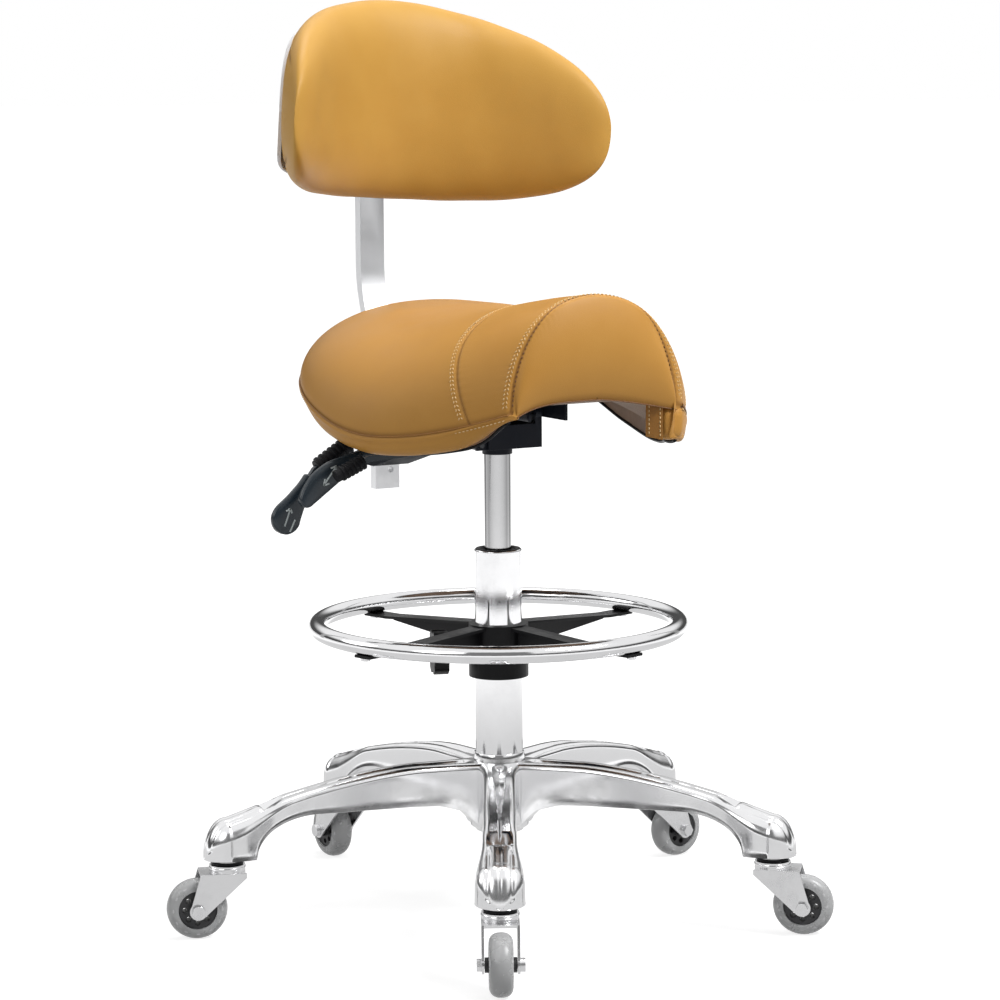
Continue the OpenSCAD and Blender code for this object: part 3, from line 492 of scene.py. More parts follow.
def tube(name, line, radius, finish, body, sides=12, squash=1):  # a round cord carried along a line of points
    along = unit(np.gradient(line, axis=0))
    guide = unit(np.array([0, 0, 1]) - along * along[:, 2:])
    side, angle = np.cross(along, guide), allRound(sides)[None, :, None]
    grid = line[:, None] + radius * (np.cos(angle) * guide[:, None] + squash * np.sin(angle) * side[:, None])
    return meshObject(name, *capped(grid, line[[0, -1]]), finish, body)


broken = {"segments": 2, "angle": 28, "flat": 0.8, "merge": 2e-6}


def softened(node, finish, width):  # the CAD piece with its sharp edges broken, as a real one is
    mesh = bpy.data.meshes.new(node + "Soft")
    work = bmesh.new()
    work.from_mesh(nodes[node].data)
    bmesh.ops.remove_doubles(work, verts=work.verts, dist=broken["merge"])
    bmesh.ops.dissolve_limit(work, angle_limit=math.radians(broken["flat"]), verts=work.verts, edges=work.edges)
    work.to_mesh(mesh)
    work.free()
    mesh.materials.clear()
    mesh.materials.append(finish)
    smoothed(mesh, broken["angle"])
    made = newObject(node + "Soft", mesh)
    bevel = made.modifiers.new("edges", "BEVEL")
    bevel.width, bevel.segments, bevel.limit_method = width, broken["segments"], "ANGLE"
    bevel.angle_limit, bevel.harden_normals, bevel.use_clamp_overlap = math.radians(broken["angle"]), True, True
    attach(made, bodyOf[node])
    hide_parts(node)


stitch = {"pitch": 0.0044, "length": 0.0031, "thick": 0.00055, "dip": 0.0004, "rings": 6, "sides": 6}


def stitchRow(name, line, normal, body, finish=None, pitch=None, slant=0):
    # one short rounded thread for each stitch, laid along a line of points
    pitch, gone = pitch or stitch["pitch"], lengthAlong(line)
    at = np.arange(pitch, gone[-1] - pitch / 2, pitch)
    centre, out = resampled(line, gone, at), unit(resampled(normal, gone, at))
    along = unit(resampled(line, gone, at + 2e-4) - resampled(line, gone, at - 2e-4))
    side = np.cross(along, out)
    if slant:
        along = along * math.cos(slant) + side * math.sin(slant)
        side = np.cross(along, out)
    rings, sides = stitch["rings"], stitch["sides"]
    ends, angle = np.linspace(-1, 1, rings)[:, None], allRound(sides)
    reach = (np.sqrt(np.maximum(0, 1 - np.abs(ends) ** 3)) + 0.02) * stitch["thick"]
    template = joined(ends * stitch["length"] / 2, reach * np.cos(angle),
                      reach * np.sin(angle) - stitch["dip"] * ends ** 4).reshape(-1, 3)
    points = centre[:, None]
    for k, direction in enumerate((along, side, out)):
        points = points + template[None, :, k:k + 1] * direction[:, None]
    caps = np.array([[0, 1, 2, 3], [0, 3, 4, 5], [30, 33, 32, 31], [30, 35, 34, 33]])
    quads = np.concatenate([gridQuads(rings, sides, False, True), caps])
    shift = (np.arange(len(at)) * rings * sides)[:, None, None]
    made = meshObject(name, points, (quads[None] + shift).reshape(-1, 4), finish=finish or seatThread, body=body)
    return owned(made)


# Seat: the saddle's skin, in distances f ahead of the column and angles over its arch, all in metres
saddle = {"half": 0.193, "front": 0.2, "rear": 0.2, "widest": -0.02, "rearPower": 2.27, "pommelHalf": 0.1,
          "under": 0.556, "ridge": 0.089, "crest": 0.115, "archPower": 0.97, "band": 0.02, "rim": 0.0125,
          "rimShare": 0.2, "rimBand": 0.8, "panelBulge": 0.105, "panelLow": 0.5648, "pocket": 0.0081,
          "innerFlat": 0.075, "innerShare": 0.62, "innerPower": 1.5, "edgeRadius": 0.007, "edgeExtra": 0.007,
          "edgeEnd": 0.2005, "edgeTurn": 62, "bandBulge": 0.0016, "grooveDepth": 0.0011, "grooveWidth": 0.0011,
          "pucker": 0.00022, "puckerPitch": 0.0085, "drape": 0.00045}
# how the saddle changes along its length: where it starts, over what run, and by how much or to what power
change = {"pipingFront": (0.06, 0.14, 0.029), "pipingRear": (0.06, -0.26, 0.057), "ridge": (-0.01, 0.23),
          "ridgeRear": (-0.138, -0.062, 2.4), "bandRear": (-0.02, -0.11, 0.011), "bandRight": (-0.17, 0.08, 0.005),
          "flapRight": (0.14, 0.05, 0.01), "flapLeft": (0.14, 0.06, -0.0145), "underFront": (0.14, 0.06, 0.01),
          "underRear": (-0.138, -0.062, 0.03), "rimFront": (0.155, 0.045, 0.72), "panelInner": (0.1885, 0.009),
          "edgeRight": (1.9, 0.9)}
# a drop, the reach over which it comes and its power; and for the seams a place, a swing and its power
panelEdges = {"right": (0.0135, 0.085, 1.35), "left": (0.0125, 0.0924, 4)}
seamCurves = {"waist": (0.094, 0.072, 0.66), "panel": (0.1988, -0.0058, 4)}
steps = {"rear": 74, "middle": 34, "fore": 122, "edge": 16, "arch": 171, "band": 9, "roll": 15, "inner": 45,
         "panel": 26}


def rearRows(first, count):  # rows that close up towards the round rear end
    return saddle["widest"] - (saddle["rear"] + saddle["widest"]) * np.sin(degrees(first, 0, count))


def seatHalf(f):  # half the width: a round rear, then narrower with the square of the way to the front
    reach = saddle["rear"] + saddle["widest"]
    back = saddle["half"] * roundEnd(np.maximum(0, saddle["widest"] - f) / reach, saddle["rearPower"])
    ahead = (f - saddle["widest"]) / (saddle["front"] - saddle["widest"])
    return np.where(f < saddle["widest"], back, saddle["half"] - (saddle["half"] - saddle["pommelHalf"]) * ahead ** 2)


def pipingZ(f):  # the piping rises to the front with the square of the distance, and gently to the rear
    start, run, rise = change["pipingFront"]
    fore, back = rise * ((f - start) / run) ** 2, grown(f, *change["pipingRear"])
    return saddle["under"] - rise + np.where(f > start, fore, back)


def ridgeZ(f):  # the ridge climbs from the low seat to the crest in front, and rounds off at the rear
    line = saddle["under"] + saddle["ridge"] + grown(f, *change["ridge"], saddle["crest"] - saddle["ridge"])
    start, run, power = change["ridgeRear"]
    return pipingZ(f) + (line - pipingZ(f)) * roundEnd(np.clip((f - start) / run, 0, 1), power)


def bandHeight(f, x=-1):  # the band below the piping, lower on the right
    right, left = grown(f, *change["bandRight"]) + grown(f, *change["flapRight"]), grown(f, *change["flapLeft"])
    return saddle["band"] - grown(f, *change["bandRear"]) + np.where(np.asarray(x) > 0, right, left)


def underZ(f):  # the top of the arch underneath
    return saddle["under"] + grown(f, *change["underFront"]) + grown(f, *change["underRear"])


def fullRim(f):  # half the thickness of the rolled edge, before it thins towards the front
    return np.minimum(saddle["rim"], saddle["rimShare"] * seatHalf(f))


def rimHalf(f):
    return fullRim(f) * (1 - grown(f, *change["rimFront"]))


def rimRise(f, band):
    return np.minimum(rimHalf(f), saddle["rimBand"] * band)


def panelEdgeZ(x):  # the lower edge of the front panel, a little fuller on one side
    right, left = (drop * (np.abs(x) / reach) ** power for drop, reach, power in panelEdges.values())
    return saddle["panelLow"] - np.where(x > 0, right, left)


def innerZ(f, x):  # the inner face: flat in the middle, then falling to the rolled edge, and to the panel in front
    inner, band = seatHalf(f) - 2 * rimHalf(f), bandHeight(f)
    flat = np.minimum(saddle["innerFlat"], saddle["innerShare"] * (seatHalf(f) - 2 * fullRim(f)))
    edge = pipingZ(f) - band + rimRise(f, band)
    t = np.maximum(0, (np.abs(x) - flat) / np.maximum(inner - flat, 1e-6))
    plain = underZ(f) - (underZ(f) - edge) * np.minimum(t, 1) ** saddle["innerPower"]
    return plain + (panelEdgeZ(x) - plain) * grown(f, *change["panelInner"])


def edgeInset(f, a):  # how far the skin has turned in at its round front edge, wider on the right
    radius = saddle["edgeRadius"] + grown(a, *change["edgeRight"], saddle["edgeExtra"])
    return radius * (1 - roundEnd(np.clip((f - saddle["edgeEnd"] + radius) / radius, 0, 1)))


def archSurface(f, a):
    low, inset, power = pipingZ(f), edgeInset(f, a), saddle["archPower"]
    rise = (ridgeZ(f) - low - inset) * np.abs(np.sin(a)) ** power
    return joined(-(seatHalf(f) - inset) * signedPower(np.cos(a), power), -f, low + rise)


def archPoint(f, a, lift):  # a point lifted off the arch at distance f and angle a, and the skin's normal there
    point = archSurface(f, a)
    along = archSurface(f + 1e-4, a) - archSurface(f - 1e-4, a)
    over = archSurface(f, np.clip(a + 1e-3, 0, np.pi)) - archSurface(f, np.clip(a - 1e-3, 0, np.pi))
    normal = unit(np.cross(over, along))
    outward = np.sum(normal * (point * np.array([1, 0, 1]) - np.array([0, 0, 0.5])), -1, keepdims=True)
    normal = np.where(outward < 0, -normal, normal)
    return point + normal * lift, normal


def waistSeam(a):  # the seam across the saddle bends back towards the ridge
    place, swing, power = seamCurves["waist"]
    return place + swing * (1 - np.sin(a)) ** power


def panelSeam(a):  # the seam round the front panel
    place, swing, power = seamCurves["panel"]
    return place + swing * np.sin(a) ** power


def makeFlap(f, side, u):  # the band below the piping and the rolled edge under it
    low, band = pipingZ(f), bandHeight(f, side)
    bottom, rise = low - band, rimRise(f, band)
    turned = seatHalf(f) - edgeInset(f, np.pi * (side > 0))
    roll = degrees(0, 180, steps["roll"])[None, 1:]
    bulge = saddle["bandBulge"] * np.sin(u * np.pi) * ease(seatHalf(f) / 0.06)
    outer = joined(turned + bulge, -f, low + (bottom + rise - low) * u)
    under = joined(turned - rimHalf(f) + rimHalf(f) * np.cos(roll), -f, bottom + rise - rise * np.sin(roll))
    return outer * np.array([side, 1, 1]), under * np.array([side, 1, 1])


def makeFrontPanel(ring, start, end):
    # from the arch and band down to the inner edge, bulging forward between them
    upper, lower = np.concatenate([ring[end:], ring[:start]]), ring[start:end][::-1]
    even = resampled(lower, np.linspace(0, 1, len(lower)), np.linspace(0, 1, len(upper)))
    down = np.linspace(0, 1, steps["panel"])[:, None, None]
    padded = np.concatenate([np.repeat(upper[:1], 8, 0), upper, np.repeat(upper[-1:], 8, 0)])
    calm = np.stack([blurred(column, np.hanning(17)) for column in padded.T], -1)
    calm = calm + (upper - calm) * np.exp(-down / 0.05)  # the seam's puckers die out on the panel
    patch = calm * (1 - down) + even[None] * down
    bulge = 4 * down[..., 0] * (1 - down[..., 0]) * np.linalg.norm(upper - even, axis=1)[None]
    patch[..., 1] -= saddle["panelBulge"] * bulge
    # and painted shade along the panel's lower edge, for the seam attribute
    return patch, bell(1 - down[..., 0], 0.05) * np.ones(patch.shape[:2])


def makeSaddle():
    straight, turned = saddle["edgeEnd"] - saddle["edgeRadius"], degrees(0, saddle["edgeTurn"], steps["edge"])[1:]
    rows = np.concatenate([rearRows(89.6, steps["rear"]), np.linspace(saddle["widest"], 0.088, steps["middle"])[1:],
                           np.linspace(0.088, straight, steps["fore"])[1:],
                           straight + saddle["edgeRadius"] * np.sin(turned)])
    f, arch = rows[:, None], degrees(0, 180, steps["arch"])[None]
    top = archSurface(f, arch)
    seams = [np.abs(f - waistSeam(arch)), np.abs(f - panelSeam(arch))]  # distances from both seams and the piping
    welt = np.minimum(arch, np.pi - arch) * 0.12
    run = arch * 0.16  # rough distance along the seams
    ripple = np.sin(run / saddle["puckerPitch"] * 2 * np.pi + 3 * np.sin(run * 61))
    drape = np.sin(f * 38 + 2.6 * np.sin(arch * 3)) * np.sin(arch) * ease((f + 0.14) / 0.08)
    push = saddle["drape"] * drape - 0.0005 * bell(welt, 0.004)
    for distance in seams:
        push = push - saddle["grooveDepth"] * bell(distance, saddle["grooveWidth"])
        push = push + saddle["pucker"] * np.exp(-distance / 0.007) * ripple
    top = top + surfaceNormals(top, 90, 85, (0, 0, 1)) * push[..., None]
    # painted shade along both seams and beside the piping, kept in the seam attribute
    paintedSeamShade = np.clip(sum(bell(distance, 0.0009) for distance in seams) + bell(welt, 0.003), 0, 1)

    u = np.linspace(0, 1, steps["band"])[None, 1:]
    (sideRight, underRight), (sideLeft, underLeft) = makeFlap(f, 1, u), makeFlap(f, -1, u)
    x = (seatHalf(f) - 2 * rimHalf(f) - 0.0003) * np.cos(degrees(0, 180, steps["inner"]))[None]
    edge = ease((np.abs(x) - (seatHalf(f) - 2 * fullRim(f)) - 0.001) / 0.003)
    pocket = saddle["pocket"] * ((f > -0.176) & (f <= 0.19)) * (1 - edge)  # room for the shell
    inside = joined(x, -f, innerZ(f, x) + pocket)
    grid = np.concatenate([top, sideRight, underRight, inside, underLeft[:, ::-1], sideLeft[:, ::-1]], 1)
    count, band = grid.shape[1], steps["band"] - 1
    # painted shade on the band just below the piping
    side = np.repeat(bell(u, 0.22), len(rows), 0)
    rest = np.zeros((len(rows), count - steps["arch"] - 2 * band))
    seam = np.concatenate([paintedSeamShade, side * 0.6, rest, side[:, ::-1] * 0.6], 1)

    start, half = steps["arch"] + band + steps["roll"] // 2, band + steps["roll"] // 2
    patch, paintedPanelEdgeShade = makeFrontPanel(grid[-1], start, count - half)
    # the panel's first row is the body's last ring, so the two are joined when doubles merge
    quads = [gridQuads(len(rows), count, False, True), gridQuads(*patch.shape[:2]) + len(grid) * count]
    tip = [0, saddle["rear"], float(pipingZ(np.array(-saddle["rear"]))) + 0.002]  # the rear closes on a fan
    points = np.concatenate([grid.reshape(-1, 3), patch.reshape(-1, 3), [tip]])
    ring = np.arange(count)
    fan = np.stack([ring, np.full(count, len(points) - 1), (ring + 1) % count], -1)
    values = np.concatenate([seam.ravel(), paintedPanelEdgeShade.ravel(), [0]])
    made = meshObject("saddleCushion", points, np.concatenate(quads), fan, tanLeather, "seat", {"seam": values})
    owned(made, "seat_cushion")


makeSaddle()
print("saddle made")


def makeSeatTrim():
    f = np.concatenate([rearRows(89, 90), np.linspace(saddle["widest"], 0.198, 130)[1:]])
    zero = np.zeros(len(f))
    for side, name in ((-1, "Left"), (1, "Right")):
        edge = np.stack([side * (seatHalf(f) + 0.0003), -f, pipingZ(f)], -1)
        out = unit(np.stack([zero + side, np.gradient(seatHalf(f), f), zero], -1))
        owned(tube("seatWelt" + name, edge, 0.0009, weltLeatherPaintedShade, "seat", 10))
        stitchRow("bandStitches" + name, edge + np.array([0, 0, -0.0042]) + out * 0.0003, out, "seat")
    angle = degrees(2, 178, 260)
    for name, seam, offsets in (("waist", waistSeam, (-0.0042, -0.0068)), ("panel", panelSeam, (-0.0026, -0.005))):
        for k, offset in enumerate(offsets):
            line, normal = archPoint(seam(angle) + offset, angle, 0.00015)
            stitchRow(f"{name}Stitches{k + 1}", line, normal, "seat", slant=0.5 if k else -0.5)
    # painted shade: the stitches on the panel's edge are in dark thread
    line, normal = archPoint(panelSeam(angle) + 0.0006, angle, -0.0004)
    stitchRow("panelEdgeStitches", line, normal, "seat", shadeThread, 0.0048)
    x = np.linspace(-0.093, 0.093, 160)  # lower edge of the front panel, with a cord in painted shade colour
    low = joined(x, -0.2003, panelEdgeZ(x) + 0.0003)
    owned(tube("panelEdgeShadeCord", low, 0.0007, shadeThread, "seat", 10))


underside = {"drop": 0.0012, "lining": 0.0012, "shellLow": 0.0015, "shell": 0.006, "edge": 0.0017,
             "reach": (-0.166, 0.19), "end": (0.0925, -0.186, 0.5362), "endHalf": (0.0136, 0.0148, 0.0176),
             "endPowers": (0.62, 0.7),
             "flange": (-0.06, 0.035, 0.17, 0.5492), "flangeHalf": 0.0056, "flangeFlat": 0.3}


def makeUnderside():
    # the lining goes over the arch and down inside each flap, with the shell above it and the shell's dark edge below
    f = np.linspace(*underside["reach"], 90)[:, None]
    inner = seatHalf(f) - 2 * rimHalf(f) - 0.0008
    arch = inner * np.sin(degrees(-90, 90, 61))[None]
    over = joined(arch, -f, innerZ(f, arch))
    fall = np.linspace(1, 0, 9)[None, :-1]
    top, flaps = innerZ(f, inner), []
    for k in (-1, 1):
        foot = pipingZ(f) - bandHeight(f, k) + underside["drop"] + 0.009 * ease((-0.1 - f) / 0.05)
        flaps.append(joined(k * (inner + 0.0003 * fall), -f, top + (np.minimum(foot, top - 0.001) - top) * fall))
    grid = np.concatenate([flaps[0], over, flaps[1][:, ::-1]], 1)
    lining = thinSheet("seatLiningSheet", grid, underside["lining"], liningClothPaintedShade, "seat", sharp=60)
    owned(lining, "seat_lining")
    above = over + np.array([0, 0, underside["shellLow"]])
    owned(thinSheet("seatShellSheet", above, underside["shell"], blackPlastic, "seat"), "seat_shell")
    for k, name in ((0, "Left"), (-1, "Right")):
        line = grid[:, k] + np.array([0, 0, -0.0004])
        owned(tube("shellEdge" + name, line, underside["edge"], blackPlastic, "seat", 10))
    # the closed end of the right flap, and the stitched strip beside it
    a, b, (flat, square) = degrees(-89, 89, 40)[:, None], allRound(72)[None], underside["endPowers"]
    wide = signedPower(np.cos(a), flat)
    cap = joined(wide * signedPower(np.cos(b), square), wide * signedPower(np.sin(b), square),
                 signedPower(np.sin(a), flat)) * np.array(underside["endHalf"]) + np.array(underside["end"])
    owned(meshObject("flapEnd", *capped(cap), tanLeather, "seat"))
    u, v = np.linspace(0, 1, 12)[:, None], np.linspace(0, 1, 20)[None]
    low = 0.5235 - 0.0035 * u
    strip = joined(0.064 + 0.014 * u, -0.1885 - 0.0105 * u - 0.0006 * np.sin(u * np.pi), low + (0.5585 - low) * v)
    owned(thinSheet("flapStrip", strip, -0.0016, weltLeatherPaintedShade, "seat", sharp=60))
    for k, row in enumerate((2, 9)):
        out = np.tile([0.3, -1, 0], (20, 1))
        stitchRow(f"flapStitches{k + 1}", strip[row] + np.array([0, -0.0003, 0]), out, "seat")
    x, near, far, z = underside["flange"]
    line = joined(x, -np.linspace(near, far, 40), z)
    flange = tube("plateFlange", line, underside["flangeHalf"], navyPaint, "seat", 16, underside["flangeFlat"])
    owned(flange)


makeSeatTrim()
makeUnderside()
print("seat seams and stitches made")

# Back rest: the padded shield, as strips round its own upright axis; a curve is a power and a root
shield = {"centreY": 0.0521, "radius": 0.202, "wrap": math.radians(80.88), "thick": 0.0633, "up": 0.1277,
          "down": 0.0866, "tipZ": 0.8366, "turn": math.radians(-3.7), "roll": math.radians(3.73), "pivotZ": 0.804,
          "shift": 0.003, "upCurve": (1.644, 0.4383), "downCurve": (3.047, 0.288), "thickCurve": (2.9, 0.55),
          "seamAt": 42, "seamEnd": 0.8, "seamDepth": 0.0016, "deepPower": 0.93, "highPower": 0.76,
          "strips": 170, "round": 128}


def shieldPoint(s, radius, z):  # bent round an upright axis, then turned and rolled as it was left
    angle = s * shield["wrap"] + shield["turn"]
    point = joined(radius * np.sin(angle), radius * np.cos(angle) + shield["centreY"], z)
    c, d = math.cos(shield["roll"]), math.sin(shield["roll"])
    x, h = point[..., 0].copy(), point[..., 2] - shield["pivotZ"]
    point[..., 0], point[..., 2] = c * x + d * h + shield["shift"], shield["pivotZ"] - d * x + c * h
    return point


def shieldReach(s, part):  # how far the shield reaches up, down or deep at s, from -1 to 1 across it
    power, root = shield[part + "Curve"]
    return shield[part] * np.maximum(0, 1 - np.abs(s) ** power) ** root


def shieldSkin(s, angle):
    # the skin of the cushion, angle 0 at the middle of its front, and the middle line inside it
    up, down, d = shieldReach(s, "up"), shieldReach(s, "down"), shieldReach(s, "thick") / 2
    mid, high = shield["tipZ"] + (up - down) / 2, signedPower(np.sin(angle), shield["highPower"])
    deep = d * signedPower(np.cos(angle), shield["deepPower"])
    skin = shieldPoint(s, shield["radius"] - d - deep, mid + (up + down) / 2 * high)
    return skin, shieldPoint(s, shield["radius"] - d, mid)


def makeShield():
    s, angle = np.sin(degrees(-88.6, 88.6, shield["strips"]))[:, None], allRound(shield["round"])[None]
    grid = shieldSkin(s, angle)[0]
    back = np.degrees(np.arccos(np.clip(-np.cos(angle), -1, 1))) - shield["seamAt"]  # degrees from the back seam
    inward = 1 - ease((np.abs(s) - shield["seamEnd"]) / 0.1)  # the seam ends before the tips
    ripple = 0.0005 * np.sin(s * 9 + 2 * np.sin(angle * 2)) * np.maximum(0, np.cos(angle))
    push = (ripple + 0.0002 * np.sin(s * 23 + angle * 3)) * inward - shield["seamDepth"] * bell(back, 2.4) * inward
    grid = grid + surfaceNormals(grid, 85, 0, (0, -1, 0)) * push[..., None]
    # painted shade along the back seam, kept in the seam attribute
    seam = np.concatenate([(bell(back, 4) * inward).ravel(), [0, 0]])
    made = meshObject("backCushion", *capped(grid), padLeatherPaintedLight, "back_rest", {"seam": seam})
    owned(made, "pad_cushion")
    s = s[np.abs(s[:, 0]) < shield["seamEnd"], 0]  # stitches follow the back seam
    for k, a in enumerate((172 - shield["seamAt"], 188 + shield["seamAt"])):
        line, middle = shieldSkin(s, math.radians(a))
        out = unit(line - middle)
        stitchRow(f"backStitches{k + 1}", line + out * 0.0002, out, "back_rest")


shellPlate = {"reach": 0.745, "margin": 0.018, "endMargin": (0.01, 0.066), "thick": 0.004, "gap": -0.0015,
              "edge": 0.0018}


def makeShieldShell():  # a thin moulded plate with a rolled rim, on the back of the cushion
    s = shellPlate["reach"] * np.sin(degrees(-90, 90, 120))[:, None]
    less, more = (shellPlate["margin"] + end * (s / shellPlate["reach"]) ** 6 for end in shellPlate["endMargin"])
    low, high = shield["tipZ"] - shieldReach(s, "down") + less, shield["tipZ"] + shieldReach(s, "up") - more
    inner = shield["radius"] + shellPlate["gap"]
    outer, e, turn = inner + shellPlate["thick"], shellPlate["edge"], degrees(0, 90, 6)
    radius = [np.full(24, inner), outer - e + e * np.sin(turn), np.full(22, outer), outer - e + e * np.cos(turn)]
    height = [np.linspace(0, 1, 24), 1 + 0 * turn, np.linspace(1, 0, 22), 0 * turn]
    rise = [np.zeros(24), -e + e * np.cos(turn), np.linspace(-e, e, 22), e - e * np.sin(turn)]
    radius, height, rise = (np.concatenate(parts)[None] for parts in (radius, height, rise))
    grid = shieldPoint(s, radius, low + (high - low) * height + rise)
    owned(meshObject("shieldShell", *capped(grid), whitePlastic, "back_rest", sharp=40), "pad_shell")


makeShield()
makeShieldShell()
print("back rest made")

# Base: five arms cast with the hub, each a skin over a plan outline, r from the middle
casting = {"reach": 0.297, "boss": 0.0245, "floor": 0.083, "crest": 0.0835, "endHeight": 0.042, "turn": 240,
           "groove": 0.0042, "grooveHalf": 0.001, "grooveMouth": 0.0068, "mouthEnds": (0.215, 0.165),
           "grooveFrom": (0.03, 0.02), "grooveTo": (0.232, 0.02), "hollow": 0.007, "hollowFrom": (0.238, 0.022),
           "hollowTo": (0.2585, 0.004), "hollowHalf": 0.0132, "flute": 0.0017, "fluteFrom": (0.266, 0.016),
           "fluteSide": (0.0122, 0.0021), "fluteMiddle": 0.0024, "shoulder": 0.0066, "noseShoulder": 0.015,
           "noseFrom": (0.228, 0.06), "recess": 0.01, "recessFrom": (0.07, 0.03), "recessTo": (0.225, 0.03),
           "lip": 0.0009, "draft": 0.0004, "slope": (0.09, 1.6), "arch": (0.042, 0.2025, 0.068), "archEnd": 0.2705}
armWidths = ([0, 0.028, 0.036, 0.055, 0.1, 0.217, 0.252, 0.282, 0.33],
             [0.0225, 0.0225, 0.0205, 0.018, 0.0168, 0.016, 0.0178, 0.0235, 0.0245])
armBelow = ([0, 0.026, 0.046, 0.071, 0.1, 0.4], [0.014, 0.014, 0.034, 0.041, 0.042, 0.042])
hubProfile = ((25, 95.4), (29.5, 95.4), (31, 97), (31, 132), (30.6, 142), (29.6, 152), (28.4, 161),
              (27.6, 167), (27.1, 171.5), (26.7, 174), (26.2, 175.2), (25.3, 175.6), (25.02, 175.2), (25.02, 95.6))


def softTable(x, table, blur):  # a smooth curve near a few points
    dense = np.arange(-0.05, 0.4, 0.001)
    values = np.pad(np.interp(dense, *table), 30, mode="edge")
    return np.interp(x, dense, blurred(values, bell(np.arange(-30, 31) * 0.001, blur)))


def armHalf(r):  # half the width in plan, with a round nose
    end, boss = casting["reach"], casting["boss"]
    tip = np.sqrt(np.maximum(0, boss ** 2 - np.maximum(0, r - end) ** 2))
    return np.where(r > end, tip, np.minimum(softTable(r, armWidths, 0.006), boss))


def armCrest(r):  # the height of the top, falling outwards and rounded at the nose
    end, fall, (start, power) = casting["reach"], casting["crest"] - casting["endHeight"], casting["slope"]
    slope = casting["crest"] - fall * (np.maximum(0, r - start) / (end - start)) ** power
    return np.where(r > end, casting["endHeight"] * roundEnd((r - end) / casting["boss"]), slope)


def armUnder(r):  # the height of the underside: a long arch from the hub to the foot
    high, start, run = casting["arch"]
    arch = high * roundEnd(np.maximum(0, r - start) / run)
    return np.where(r > casting["archEnd"], 0, np.minimum(arch, softTable(r, armBelow, 0.004)))


def makeCasting():
    end, boss = casting["reach"], casting["boss"]
    r = np.concatenate([np.linspace(0.018, end, 150), end + boss * np.sin(degrees(3, 89.3, 34))])[:, None]
    half, crest, under = armHalf(r), armCrest(r), armUnder(r)
    shoulder = casting["shoulder"] + grown(r, *casting["noseFrom"], casting["noseShoulder"])
    shoulder = np.minimum(shoulder, np.minimum(0.92 * half, 0.78 * (crest - under)))
    y = half * np.sin(degrees(-90, 90, 61))[None]
    over = np.clip((np.abs(y) - (half - shoulder)) / np.maximum(shoulder, 1e-6), 0, 1)
    top = joined(r, y, crest - shoulder * (1 - roundEnd(over)))
    # a long V along the arm, a hollow that sinks slowly and ends in a step, and flutes on the nose
    run = grown(r, *casting["grooveFrom"]) * (1 - grown(r, *casting["grooveTo"]))
    (far, reach), (start, length), hollowHalf = casting["mouthEnds"], casting["hollowFrom"], casting["hollowHalf"]
    mouth = casting["grooveHalf"] + casting["grooveMouth"] * np.clip((far - r) / reach, 0, 1)
    groove = casting["groove"] * run * np.maximum(0, 1 - np.abs(y) / mouth) ** 0.8
    bay = np.maximum(0, np.clip((r - start) / length, 0, 1) - grown(r, *casting["hollowTo"]))
    hollow = casting["hollow"] * bay * np.maximum(0, 1 - (y / hollowHalf) ** 2) ** 0.6
    fade, (off, wide) = grown(r, *casting["fluteFrom"]) * (1 - 0.4 * ease((r - end) / boss)), casting["fluteSide"]
    flute = casting["flute"] * fade * (bell(np.abs(y) - off, wide) + 0.55 * bell(y, casting["fluteMiddle"]))
    top = top - surfaceNormals(top, 60, 30, (0, 0, 1)) * (groove + hollow + flute)[..., None]
    top[..., 2] = np.maximum(top[..., 2], under + 0.0006)
    # side wall with a little draft and a lip, then a recessed underside
    u = np.linspace(0, 1, 9)[None, 1:, None]
    wall = joined(r, half, crest - shoulder) * (1 - u) + joined(r, half + casting["draft"], under + 0.0008) * u
    wall[..., 1] += casting["lip"] * bell(1 - u[..., 0], 0.16) * (r <= end)
    depth = grown(r, *casting["recessFrom"], casting["recess"]) * (1 - grown(r, *casting["recessTo"]))
    lip = np.minimum(0.0042, 0.35 * half)
    inset = ((1, 0.25, 0), (1, 1, 0), (1, 1.1, 0.35), (1, 1.4, 1), (0.35, 0.4, 1.05))
    lower = np.concatenate([joined(r, half * k - lip * m, under + depth * n) for k, m, n in inset], 1)
    mirror = np.array([1, -1, 1])
    grid = np.concatenate([top, wall, lower, lower[:, ::-1] * mirror, wall[:, ::-1] * mirror], 1)
    arm, quads, fans = capped(grid)
    points = []
    for k in range(5):
        a = math.radians(casting["turn"] + 72 * k)
        spin = np.array([[math.cos(a), -math.sin(a), 0], [math.sin(a), math.cos(a), 0], [0, 0, 1]])
        points.append(arm @ spin.T + np.array([0, 0, casting["floor"]]))
    quads, fans = (np.concatenate([faces + k * len(arm) for k in range(5)]) for faces in (quads, fans))
    arms = meshObject("baseArms", np.concatenate(points), quads, fans, polishedAlloy, "base", sharp=50)
    core = lathe("baseHub", np.array(hubProfile) / 1000, (0, 0, 0), polishedAlloy, "base", 120, 40)
    owned(arms, "base_casting")
    owned(core)


makeCasting()
print("base made")

# Round chromed pieces, turned finely so that their reflections run clean; heights are from the column's top
column = {"top": 0.3914, "ring": 0.191, "ringHalf": 0.009}
tubeTop = ((0.025, -0.0012), (0.0246, -0.0004), (0.024, 0), (0.023, 0))
bushTop = ((0.0229, -0.0016), (0.0236, -0.001), (0.0238, -0.0002), (0.0232, 0.0008), (0.0205, 0.001),
           (0.019, 0.0004), (0.0178, -0.0012), (0.0158, -0.0014), (0.015, -0.0006), (0.01405, -0.0018))


